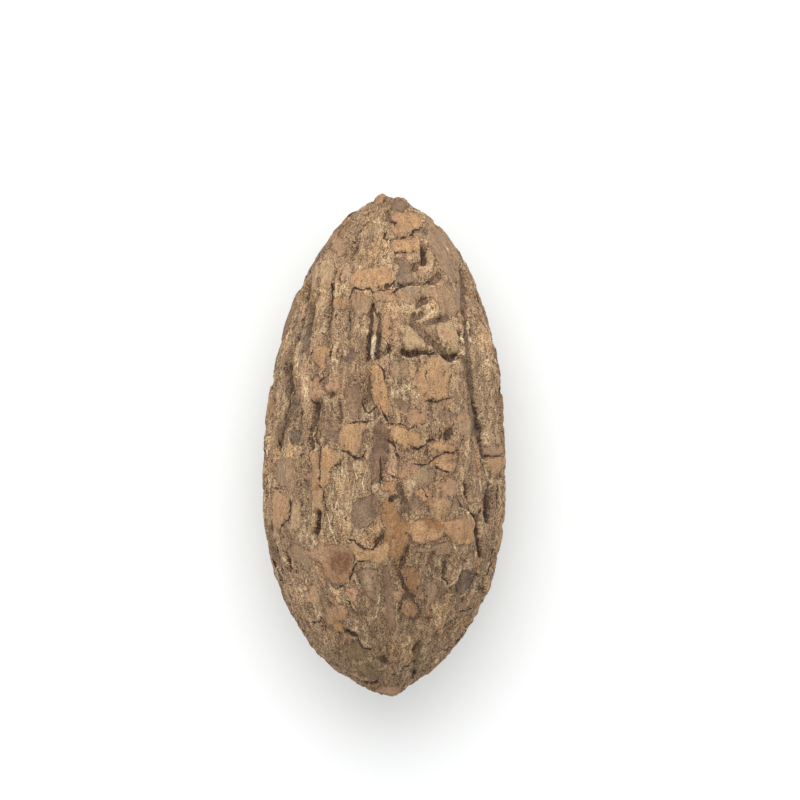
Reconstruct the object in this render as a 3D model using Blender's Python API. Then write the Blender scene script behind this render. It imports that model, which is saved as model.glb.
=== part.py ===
"""A bodhi seed: a large woody palm seed with a rough, bark-like skin, lying on its side.

Sizes are in millimetres and become metres where the mesh is placed. Across is X, along is Y with the
narrower tip at +Y, and turn is the angle round the seed's length: 0 on top, growing towards +X.
"""

import math
import random

import bmesh
import bpy
import numpy as np
from mathutils import Matrix, Vector, noise

MM = 0.001

# The body without its relief. The outline seen from above is fuller on the +X side of the tip
HALF_WIDTH = 11.95
HALF_HEIGHT = 11.35
TIP_END = 24.84
BASE_END = -24.44
WIDEST_AT = -4.8
TIP_POWER_RIGHT = 2.7
TIP_ROUNDING_RIGHT = 0.57
TIP_POWER_LEFT = 2.3
TIP_ROUNDING_LEFT = 0.65
BASE_POWER = 2.0
BASE_ROUNDING = 0.57

# The narrow end hangs a little lower, so that the weight is over the flat spot
NOSE_DOWN = math.radians(3.2)
FLAT_DEPTH = 0.26
CALM_HALF_ACROSS = 4.0
CALM_HALF_ALONG = 8.0
CALM_INNER_SHARE = 0.6
CALM_OUTER_SHARE = 1.2

# Where the photograph was taken from, and how often a place seen from there is set closer to the skin
EYE = (1.6, 4.3, 300.0)
SIGHT_ROUNDS = 4

# The mesh: points round the seed, rings from tip to base, and stops of the outline that places them
ROUND_STEPS = 96
RINGS = 60
OUTLINE_RINGS = 2
OUTLINE_STOPS = 4001
LEAST_REACH = 0.1
END_MARGIN = 0.01

# How far marks reach past their stated size, as shares of it
GROOVE_REACH = 2.0
PIT_REACH = 1.8
PLATE_TOP = 0.75
PLATE_FOOT = 1.35
EDGE_SHARE = 0.985
NORMAL_STEP = 1e-3

# Broad lumps and lengthwise folds of the whole skin: height, how many there are, and how long
LUMP_HEIGHT = 0.30
LUMPS_ROUND = 2.0
LUMP_STRETCH = 0.16
FOLD_HEIGHT = 0.42
FOLDS_ROUND = 3.4
FOLD_STRETCH = 0.055
FOLD_CALM_SHARE = 0.60
FOLD_FULL_TURN = math.radians(42)
RIDGE_HEIGHT = 0.22
RIDGES_ROUND = 6.5
RIDGE_STRETCH = 0.12
END_CALM_SHARE = 0.55

# Grooves of the upper side: half width, depth, and the route as (across, along) seen from above
GROOVES = [
    (0.75, 0.75, [(8.1, 16.7), (8.0, 13.8), (8.4, 10.2), (8.6, 7.6), (8.7, 4.0), (9.2, 2.3)]),
    (0.80, 1.05, [(9.0, 3.0), (9.2, 1.6), (9.2, 0.3)]),
    (0.70, 0.70, [(9.5, 0.0), (9.9, -1.2), (10.1, -2.6)]),
    (0.75, 0.75, [(4.2, 14.4), (3.3, 13.6), (3.0, 12.1), (4.2, 10.7), (5.6, 9.6), (6.9, 8.8), (7.8, 8.9)]),
    (0.70, 0.45, [(4.3, 12.1), (6.6, 12.6)]),
    (0.70, 0.75, [(1.9, 9.4), (2.8, 9.1), (4.7, 9.2)]),
    (0.85, 0.80, [(-1.2, 14.0), (-1.1, 11.6), (-1.0, 8.7)]),
    (0.90, 0.65, [(-7.5, 16.0), (-7.7, 13.9), (-8.3, 10.8), (-9.1, 7.9), (-10.2, 2.4), (-10.5, 0.5)]),
    (0.70, 0.50, [(-4.4, 18.0), (-4.8, 14.8), (-5.6, 13.0), (-5.8, 11.4)]),
    (0.70, 0.60, [(-6.8, 4.3), (-7.1, 2.4), (-7.1, -0.2)]),
    (0.70, 0.85, [(-6.5, -6.9), (-6.7, -9.2)]),
    (0.80, 0.95, [(9.8, -4.0), (10.1, -6.0), (10.0, -7.9)]),
    (0.70, 0.60, [(9.7, -8.4), (9.4, -10.0), (9.5, -12.1)]),
    (0.70, 0.45, [(4.7, -1.4), (6.0, -0.9), (7.4, -0.6)]),
    (0.70, 0.45, [(2.4, -10.1), (1.8, -12.4), (2.0, -14.6), (2.6, -15.6)]),
    (0.70, 0.40, [(-3.3, -9.7), (-1.3, -10.6), (-0.2, -9.2)]),
    (0.75, 0.60, [(0.4, 15.9), (2.4, 15.9), (4.2, 16.2), (5.7, 16.8)]),
    (0.70, 0.40, [(-9.3, 6.5), (-9.7, 3.0), (-10.1, -3.0)]),
    (0.70, 0.40, [(-0.4, 7.6), (-0.2, 6.4)]),
    (0.70, 0.35, [(-3.8, 14.3), (-4.0, 11.8), (-4.3, 6.8)]),
    (0.70, 0.40, [(-3.9, -2.6), (-3.9, -4.6), (-3.8, -7.1)]),
    (0.70, 0.35, [(-0.6, -13.1), (-0.4, -15.6), (0.1, -18.5)]),
    (0.70, 0.40, [(6.4, -7.6), (6.8, -11.6), (6.2, -15.6)]),
    (0.70, 0.40, [(10.3, 4.3), (10.8, 1.3)]),
    (0.70, 0.40, [(11.2, -3.6), (11.2, -6.6), (10.8, -9.6)]),
    (0.70, 0.35, [(-8.2, -12.6), (-7.2, -15.6), (-5.8, -18.5)]),
]

# Pits of the upper side: (across, along), half sizes across and along, depth
PITS = [
    ((3.9, 18.6), 0.60, 1.00, 0.75),
    ((0.3, 22.8), 0.60, 0.85, 0.40),
    ((5.2, 16.5), 0.85, 0.60, 0.45),
    ((6.6, 0.9), 0.80, 0.70, 0.60),
    ((0.9, -5.3), 0.65, 0.65, 0.60),
    ((8.2, -4.6), 0.60, 0.80, 0.60),
    ((-9.4, -12.0), 0.60, 0.75, 0.50),
    ((-3.4, -19.0), 0.75, 0.60, 0.50),
    ((6.2, -12.3), 0.60, 0.70, 0.40),
    ((2.3, -22.3), 0.60, 0.60, 0.35),
    ((-0.1, -21.8), 0.60, 0.60, 0.35),
    ((-5.7, 4.7), 0.60, 0.60, 0.45),
]

# Plates of smoother skin that stand a little proud: (across, along), half sizes, lean, rise
PLATES = [
    ((2.1, 22.0), 1.6, 1.2, 0, 0.25),
    ((2.3, 19.8), 1.4, 0.8, 0, 0.25),
    ((-1.3, 16.5), 2.1, 1.3, 20, 0.40),
    ((6.4, 14.2), 1.3, 1.6, 0, 0.20),
    ((0.2, 11.7), 0.8, 1.5, 0, 0.25),
    ((5.0, 6.4), 1.8, 2.1, 0, 0.35),
    ((-0.7, 5.0), 1.0, 2.7, 0, 0.35),
    ((-3.4, 0.5), 1.2, 1.7, 0, 0.25),
    ((2.2, 0.5), 1.8, 1.1, -10, 0.30),
    ((-5.9, -2.3), 1.5, 2.2, 0, 0.40),
    ((10.8, -1.6), 1.2, 1.9, 0, 0.55),
    ((-10.1, -6.4), 1.1, 2.2, 0, 0.30),
    ((4.7, -6.1), 1.7, 1.3, 0, 0.30),
    ((1.2, -7.8), 1.3, 2.1, 0, 0.35),
    ((5.7, -8.9), 3.2, 1.2, -8, 0.35),
    ((-0.2, -11.1), 2.2, 1.2, 8, 0.30),
    ((-4.9, -11.8), 2.3, 2.1, 0, 0.35),
    ((3.0, -13.6), 0.9, 1.3, 0, 0.25),
    ((2.6, -16.9), 1.1, 1.0, 0, 0.25),
    ((-5.3, -17.6), 1.7, 1.5, 0, 0.25),
    ((-3.0, -20.7), 1.4, 1.2, 30, 0.20),
    ((2.4, 10.8), 1.2, 1.3, -30, 0.20),
    ((6.4, 10.6), 1.1, 1.3, 0, 0.20),
    ((-6.2, 9.1), 1.0, 1.1, 0, 0.25),
    ((-6.8, 5.3), 0.8, 1.4, 0, 0.20),
    ((-6.6, 16.8), 0.8, 1.4, 0, 0.25),
    ((6.0, -0.3), 1.5, 0.8, 0, 0.20),
    ((-2.0, -7.0), 1.4, 1.6, 0, 0.20),
    ((8.2, -8.0), 1.0, 1.3, 0, 0.30),
]

# Knobs that break the outline: (across, along), turn from the top, radius, rise
KNOBS = [
    ((-0.6, 24.5), math.radians(60), 0.9, 0.55),
    ((1.9, 24.2), math.radians(60), 1.1, 0.35),
    ((0.5, -24.4), math.radians(30), 2.0, 0.45),
    ((-9.0, 14.4), math.radians(90), 1.3, 0.35),
    ((-10.0, 12.4), math.radians(90), 1.4, 0.40),
    ((10.9, -15.0), math.radians(90), 1.5, 0.40),
    ((12.0, -1.7), math.radians(90), 1.3, 0.35),
]

# Marks of the sides and the underside, which the camera above does not see
HIDDEN_SEED = 41
HIDDEN_GROOVES = 26
HIDDEN_PITS = 26
HIDDEN_PIT_DEPTH = 0.45
HIDDEN_PLATES = 30
HIDDEN_RISE = 0.24
HIDDEN_FROM = math.radians(78)
HIDDEN_ALONG = 21.0
HIDDEN_PLATE_ACROSS = (0.9, 1.9)
HIDDEN_PLATE_ALONG = (1.2, 3.0)
HIDDEN_LEAN = 0.4
HIDDEN_GROOVE_LENGTH = (4.0, 14.0)
HIDDEN_GROOVE_HALF = (0.75, 0.9)
HIDDEN_GROOVE_DEPTH = (0.3, 0.65)
HIDDEN_GROOVE_STOPS = 6
HIDDEN_DRIFT = 0.12
HIDDEN_SWAY = 0.02
HIDDEN_PIT_ACROSS = (0.6, 0.8)
HIDDEN_PIT_ALONG = (0.6, 1.0)


def smooth_step(low, high, value):
    """A smooth rise from 0 at low to 1 at high."""
    share = np.clip((value - low) / (high - low), 0.0, 1.0)
    return share * share * (3.0 - 2.0 * share)


def half_width(along, right):
    """Half the body's width seen from above. It narrows faster than an ellipse near both ends."""
    tip_side = along > WIDEST_AT
    reach = np.where(tip_side, TIP_END - WIDEST_AT, WIDEST_AT - BASE_END)
    tip_power = np.where(right, TIP_POWER_RIGHT, TIP_POWER_LEFT)
    tip_rounding = np.where(right, TIP_ROUNDING_RIGHT, TIP_ROUNDING_LEFT)
    power = np.where(tip_side, tip_power, BASE_POWER)
    rounding = np.where(tip_side, tip_rounding, BASE_ROUNDING)
    share = np.clip(np.abs(along - WIDEST_AT) / reach, 0.0, 1.0)
    return HALF_WIDTH * (1.0 - share**power) ** rounding


def mean_half_width(along):
    """The mean of the body's two half widths."""
    return 0.5 * (half_width(along, True) + half_width(along, False))


def body_points(along, turn):
    """Points of the smooth body as an array of rows (x, y, z)."""
    wide = half_width(along, np.sin(turn) > 0.0)
    high = mean_half_width(along) * HALF_HEIGHT / HALF_WIDTH
    return np.stack([wide * np.sin(turn), along, high * np.cos(turn)], axis=-1)


def body_normals(along, turn):
    """Outward directions of the smooth body, from its slopes along and round it."""
    step = NORMAL_STEP
    lengthwise = body_points(along + step, turn) - body_points(along - step, turn)
    across = body_points(along, turn + step) - body_points(along, turn - step)
    normals = np.cross(across, lengthwise)
    size = np.linalg.norm(normals, axis=1, keepdims=True)
    ends = np.stack([np.zeros(len(along)), np.sign(along), np.zeros(len(along))], axis=1)
    return np.where(size > step**3, normals / np.maximum(size, step**4), ends)


def turn_at(across, along):
    """The turn of the upper skin below a point seen from above."""
    share = across / float(half_width(along, across > 0.0))
    return math.asin(max(-EDGE_SHARE, min(EDGE_SHARE, share)))


def skin_point(along, turn):
    """One point of the smooth body."""
    return body_points(np.array([along]), np.array([turn]))[0]


def seen_place(across, along):
    """The body's along and turn at a place seen from above, with the seed's lie taken off."""
    level, turn = along, turn_at(across, along)
    for _ in range(SIGHT_ROUNDS):
        height = skin_point(level, turn)[2]
        nearer = 1.0 - height / EYE[2]
        below = EYE[1] + (along - EYE[1]) * nearer
        level = (below - height * math.sin(NOSE_DOWN)) / math.cos(NOSE_DOWN)
        level = max(BASE_END + END_MARGIN, min(TIP_END - END_MARGIN, level))
        turn = turn_at(EYE[0] + (across - EYE[0]) * nearer, level)
    return level, turn


def distance_to_route(points, route):
    """Each point's distance to a line through the route's points."""
    nearest = np.full(len(points), np.inf)
    for start, end in zip(route[:-1], route[1:]):
        run = end - start
        share = np.clip((points - start) @ run / (run @ run), 0.0, 1.0)
        gap = np.linalg.norm(points - start - share[:, None] * run, axis=1)
        nearest = np.minimum(nearest, gap)
    return nearest


def groove(points, route, half, depth):
    """A rounded groove along a route on the skin."""
    share = np.clip(distance_to_route(points, route) / (GROOVE_REACH * half), 0.0, 1.0)
    return -depth * (1.0 - share**2) ** 3


def oval_share(points, along, turn, half_across, half_along, lean):
    """How far each point is from an oval's middle: 1 on the oval's edge."""
    centre = skin_point(along, turn)
    sideways = skin_point(along, turn + NORMAL_STEP) - centre
    sideways /= np.linalg.norm(sideways)
    upward = skin_point(along + NORMAL_STEP, turn) - centre
    upward /= np.linalg.norm(upward)
    offset = points - centre
    side = offset @ sideways
    up = offset @ upward
    depth = offset @ np.cross(sideways, upward)
    turned_side = side * math.cos(lean) + up * math.sin(lean)
    turned_up = up * math.cos(lean) - side * math.sin(lean)
    flat = (turned_side / half_across) ** 2 + (turned_up / half_along) ** 2
    return np.sqrt(flat + (depth / (2.0 * max(half_across, half_along))) ** 2)


def pit(points, along, turn, half_across, half_along, depth):
    """A rounded hollow."""
    share = oval_share(points, along, turn, half_across, half_along, 0.0)
    return -depth * (1.0 - np.clip(share / PIT_REACH, 0.0, 1.0) ** 2) ** 2


def plate(points, along, turn, half_across, half_along, lean, rise):
    """A flat-topped patch with a short slope round it."""
    share = oval_share(points, along, turn, half_across, half_along, lean)
    return rise * (1.0 - smooth_step(PLATE_TOP, PLATE_FOOT, share))


def upper_relief(points):
    """The grooves, pits and plates of the side that faces up."""
    raised = np.zeros(len(points))
    cut = np.zeros(len(points))
    for middle, half_across, half_along, lean, rise in PLATES:
        top = plate(points, *seen_place(*middle), half_across, half_along, math.radians(lean), rise)
        raised = np.maximum(raised, top)
    for (across, along), turn, radius, rise in KNOBS:
        distance = np.linalg.norm(points - skin_point(along, math.copysign(turn, across)), axis=1)
        raised += rise * np.exp(-((distance / radius) ** 2))
    for half, depth, route in GROOVES:
        line = np.array([skin_point(*seen_place(*stop)) for stop in route])
        cut = np.minimum(cut, groove(points, line, half, depth))
    for middle, half_across, half_along, depth in PITS:
        hollow = pit(points, *seen_place(*middle), half_across, half_along, depth)
        cut = np.minimum(cut, hollow)
    return raised + cut


def hidden_place(draw):
    """An along and a turn drawn from the sides and the underside."""
    along = draw.uniform(-HIDDEN_ALONG, HIDDEN_ALONG)
    return along, draw.uniform(HIDDEN_FROM, 2.0 * math.pi - HIDDEN_FROM)


def hidden_route(draw):
    """A nearly straight lengthwise route over the sides or the underside."""
    along, turn = hidden_place(draw)
    length = min(draw.uniform(*HIDDEN_GROOVE_LENGTH), HIDDEN_ALONG - along)
    drift = draw.uniform(-HIDDEN_DRIFT, HIDDEN_DRIFT)
    places = np.linspace(along, along + length, HIDDEN_GROOVE_STOPS)
    turns = turn + np.linspace(0.0, drift, HIDDEN_GROOVE_STOPS)
    sways = [draw.uniform(-HIDDEN_SWAY, HIDDEN_SWAY) for _ in places]
    return body_points(places, turns + np.array(sways))


def hidden_relief(points):
    """Marks of the same kinds on the sides and the underside, drawn by a rule."""
    draw = random.Random(HIDDEN_SEED)
    raised = np.zeros(len(points))
    cut = np.zeros(len(points))
    for _ in range(HIDDEN_PLATES):
        along, turn = hidden_place(draw)
        half_across, half_along = draw.uniform(*HIDDEN_PLATE_ACROSS), draw.uniform(*HIDDEN_PLATE_ALONG)
        lean = draw.uniform(-HIDDEN_LEAN, HIDDEN_LEAN)
        top = plate(points, along, turn, half_across, half_along, lean, HIDDEN_RISE)
        raised = np.maximum(raised, top)
    for _ in range(HIDDEN_GROOVES):
        line = hidden_route(draw)
        half, depth = draw.uniform(*HIDDEN_GROOVE_HALF), draw.uniform(*HIDDEN_GROOVE_DEPTH)
        cut = np.minimum(cut, groove(points, line, half, depth))
    for _ in range(HIDDEN_PITS):
        along, turn = hidden_place(draw)
        half_across, half_along = draw.uniform(*HIDDEN_PIT_ACROSS), draw.uniform(*HIDDEN_PIT_ALONG)
        cut = np.minimum(cut, pit(points, along, turn, half_across, half_along, HIDDEN_PIT_DEPTH))
    return raised + cut


def folds(along, turn):
    """Broad lumps, lengthwise folds and sharper ridges, strongest down both sides."""
    strength = FOLD_CALM_SHARE + (1.0 - FOLD_CALM_SHARE) * smooth_step(0.0, FOLD_FULL_TURN, np.abs(turn))
    away_from_ends = smooth_step(0.0, END_CALM_SHARE, mean_half_width(along) / HALF_WIDTH)
    height = np.zeros(len(along))
    for index, (place, angle) in enumerate(zip(along, turn)):
        round_x, round_z = math.sin(angle), math.cos(angle)
        lump_at = Vector((LUMPS_ROUND * round_x, LUMP_STRETCH * place, LUMPS_ROUND * round_z))
        fold_at = Vector((FOLDS_ROUND * round_x, FOLD_STRETCH * place, FOLDS_ROUND * round_z))
        ridge_at = Vector((RIDGES_ROUND * round_x, RIDGE_STRETCH * place, RIDGES_ROUND * round_z))
        lengthwise = FOLD_HEIGHT * noise.noise(fold_at) + RIDGE_HEIGHT * abs(noise.noise(ridge_at))
        height[index] = LUMP_HEIGHT * noise.noise(lump_at) + strength[index] * lengthwise
    return height * away_from_ends


def calm_share(along, turn):
    """0 round the flat spot, where the skin stays smooth, and 1 away from it."""
    below = np.abs(np.abs(turn) - math.pi) * HALF_WIDTH / CALM_HALF_ACROSS
    lengthwise = np.abs(along) / CALM_HALF_ALONG
    return smooth_step(CALM_INNER_SHARE, CALM_OUTER_SHARE, np.hypot(below, lengthwise))


def even_rings():
    """Places along the seed that lie evenly along its outline, from tip to base."""
    sweep = np.linspace(0.0, math.pi, OUTLINE_STOPS)
    middle_along = 0.5 * (TIP_END + BASE_END)
    places = middle_along + 0.5 * (TIP_END - BASE_END) * np.cos(sweep)
    steps = np.hypot(np.diff(places), np.diff(mean_half_width(places)))
    travelled = np.concatenate([[0.0], np.cumsum(steps)])
    return travelled / travelled[-1], places


def fit_outline(points, along, ring):
    """Brings the relief's outline back to the body's, leaving the short bumps of a few rings."""
    fitted = points.copy()
    for right in (True, False):
        side = 1.0 if right else -1.0
        rings = [np.flatnonzero(ring == number) for number in range(RINGS + 1)]
        reach = np.array([max(np.max(side * points[numbers, 0]), LEAST_REACH) for numbers in rings])
        place = np.array([along[numbers[0]] for numbers in rings])
        share = np.maximum(half_width(place, right), LEAST_REACH) / reach
        padded = np.pad(share[OUTLINE_RINGS:-OUTLINE_RINGS], 2 * OUTLINE_RINGS, mode="edge")
        window = 2 * OUTLINE_RINGS + 1
        share = np.convolve(padded, np.ones(window) / window, mode="valid")
        on_side = side * points[:, 0] > 0.0
        fitted[on_side, 0] *= share[ring[on_side]]
    return fitted


def shape_seed(mesh):
    """Moves every point of the ball mesh to its place on the seed's skin."""
    ball = np.array([vert.co for vert in mesh.verts])
    ring_share = np.arccos(np.clip(ball[:, 1], -1.0, 1.0)) / math.pi
    along = np.interp(ring_share, *even_rings())
    turn = np.arctan2(ball[:, 0], ball[:, 2])
    points = body_points(along, turn)
    inner = np.clip(along, BASE_END + END_MARGIN, TIP_END - END_MARGIN)
    relief = upper_relief(points) + hidden_relief(points) + folds(along, turn)
    points = points + body_normals(inner, turn) * (calm_share(along, turn) * relief)[:, None]
    points = fit_outline(points, along, np.rint(ring_share * RINGS).astype(int))
    for vert, point in zip(mesh.verts, points):
        vert.co = Matrix.Rotation(-NOSE_DOWN, 3, "X") @ Vector(point)


def stand_on_flat_spot(mesh):
    """Flattens the lowest skin and puts the origin at the middle of the box, on the surface."""
    floor = min(vert.co.z for vert in mesh.verts) + FLAT_DEPTH
    centre_x = 0.5 * (min(v.co.x for v in mesh.verts) + max(v.co.x for v in mesh.verts))
    centre_y = 0.5 * (min(v.co.y for v in mesh.verts) + max(v.co.y for v in mesh.verts))
    for vert in mesh.verts:
        height = max(vert.co.z - floor, 0.0)
        vert.co = Vector((vert.co.x - centre_x, vert.co.y - centre_y, height)) * MM


def seed_coat_material():
    """Dull brown woody skin."""
    material = bpy.data.materials.new("seed_coat")
    material.use_nodes = True
    shader = material.node_tree.nodes["Principled BSDF"]
    shader.inputs["Base Color"].default_value = (0.30, 0.21, 0.14, 1.0)
    shader.inputs["Roughness"].default_value = 0.85
    shader.inputs["Metallic"].default_value = 0.0
    return material


def build_seed(collection):
    """The whole seed as one closed solid."""
    ball = bmesh.new()
    poles_along_y = Matrix.Rotation(math.radians(-90.0), 4, "X")
    bmesh.ops.create_uvsphere(
        ball, u_segments=ROUND_STEPS, v_segments=RINGS, radius=1.0, matrix=poles_along_y
    )
    shape_seed(ball)
    stand_on_flat_spot(ball)
    mesh = bpy.data.meshes.new("seed")
    ball.to_mesh(mesh)
    ball.free()
    mesh.shade_smooth()
    mesh.materials.append(seed_coat_material())
    seed = bpy.data.objects.new("seed", mesh)
    collection.objects.link(seed)


def main():
    for old in list(bpy.data.objects):
        bpy.data.objects.remove(old, do_unlink=True)
    collection = bpy.data.collections.new("bodhi_seed")
    bpy.context.scene.collection.children.link(collection)
    build_seed(collection)


main()
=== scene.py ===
import math
import random

import bmesh
import bpy
import numpy as np
from mathutils import Matrix, Vector, noise


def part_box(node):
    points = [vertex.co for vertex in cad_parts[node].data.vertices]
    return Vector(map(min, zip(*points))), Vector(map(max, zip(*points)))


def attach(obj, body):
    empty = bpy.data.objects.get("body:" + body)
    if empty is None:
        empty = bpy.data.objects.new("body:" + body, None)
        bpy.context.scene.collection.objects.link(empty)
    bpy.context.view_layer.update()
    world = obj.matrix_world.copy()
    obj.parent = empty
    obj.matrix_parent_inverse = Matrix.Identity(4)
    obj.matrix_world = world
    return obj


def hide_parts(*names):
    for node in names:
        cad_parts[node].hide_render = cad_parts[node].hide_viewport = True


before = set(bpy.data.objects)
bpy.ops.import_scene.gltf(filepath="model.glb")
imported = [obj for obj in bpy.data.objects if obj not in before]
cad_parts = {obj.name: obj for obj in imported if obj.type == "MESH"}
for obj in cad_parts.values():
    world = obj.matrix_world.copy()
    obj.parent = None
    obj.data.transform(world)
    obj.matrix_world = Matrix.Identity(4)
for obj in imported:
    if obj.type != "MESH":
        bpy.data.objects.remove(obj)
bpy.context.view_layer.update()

# Sizes are in millimetres and become metres where the mesh is placed. Across is X, along is Y with the
# narrower tip at +Y, and turn is the angle round the seed's length: 0 on top, growing towards +X.
MM = 0.001
LOW, HIGH = (np.array(corner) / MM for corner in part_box("seed"))
LENGTH = HIGH[1] - LOW[1]

# The body without its relief, as the solid has it
HALF_WIDTH = 11.95
HALF_HEIGHT = 11.35
TIP_END = 24.84
BASE_END = -24.36
WIDEST_AT = -4.8
TIP_POWER_RIGHT = 2.7
TIP_ROUNDING_RIGHT = 0.57
TIP_POWER_LEFT = 2.3
TIP_ROUNDING_LEFT = 0.65
BASE_POWER = 2.0
BASE_ROUNDING = 0.61
NOSE_DOWN = math.radians(3.2)
FLAT_DEPTH = 0.26
CALM_HALF_ACROSS = 4.0
CALM_HALF_ALONG = 8.0

# How much of the painted light and shade the plates keep
PLATE_PAINTED_SHADING = 0.4

# The fine mesh: points round the seed, and rings from tip to base
ROUND_STEPS = 380
RINGS = 262
OUTLINE_RINGS = 9
OUTLINE_BUMP_SHARE = 0.4

# The photograph: its size, the seed's length and middle in it, and how far above the camera stands
PHOTO_SIZE = 800
PHOTO_LENGTH = 503.0
PHOTO_MIDDLE = (384.0, 443.5)
PIXEL = LENGTH / PHOTO_LENGTH
EYE_ABOVE_MIDDLE = 300.0
MID_HEIGHT = 0.5 * (LOW[2] + HIGH[2])
EYE = np.array([
    (PHOTO_SIZE / 2 - PHOTO_MIDDLE[0]) * PIXEL,
    (PHOTO_MIDDLE[1] - PHOTO_SIZE / 2) * PIXEL,
    MID_HEIGHT + EYE_ABOVE_MIDDLE,
])
FOCAL_PIXELS = EYE_ABOVE_MIDDLE / PIXEL

# Colours of the skin, as the eye sees them from 0 to 255
TAUPE = (160, 133, 104)
TAUPE_DARK = (120, 96, 74)
STRAW = (192, 165, 128)
CREAM = (214, 191, 153)
PALE = (236, 224, 186)
TAN = (189, 148, 106)
TAN_YELLOW = (190, 150, 106)
TAN_BROWN = (169, 132, 95)
ORANGE = (177, 134, 90)
CLAY = (146, 104, 64)
PINK = (184, 145, 114)
ROSE = (205, 168, 140)
PINK_BROWN = (170, 134, 106)
RED_BROWN = (156, 116, 86)
RED_DARK = (116, 74, 52)
SLATE = (124, 104, 88)
SLATE_BLUE = (110, 98, 88)
SLATE_DARK = (94, 80, 72)
PURPLE = (126, 101, 82)
PURPLE_DARK = (102, 78, 65)
OLIVE = (110, 92, 64)
OLIVE_GREY = (150, 127, 99)
GREY_TAUPE = (150, 126, 102)
# Dark brown of flecks and dots, also painted shade on groove floors and at the plates' feet
FLECK_BROWN_AND_HOLLOW_SHADE = (88, 67, 57)
# Near black of cracks, dashes and pin dots, also painted shade in the deepest hollows
CRACK_BLACK_AND_PIT_SHADE = (54, 39, 35)

# The scene is lit so strongly that the pale floor is nearly white, so the skin's own colours are darker
SKIN_SHARE = 0.738

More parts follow.
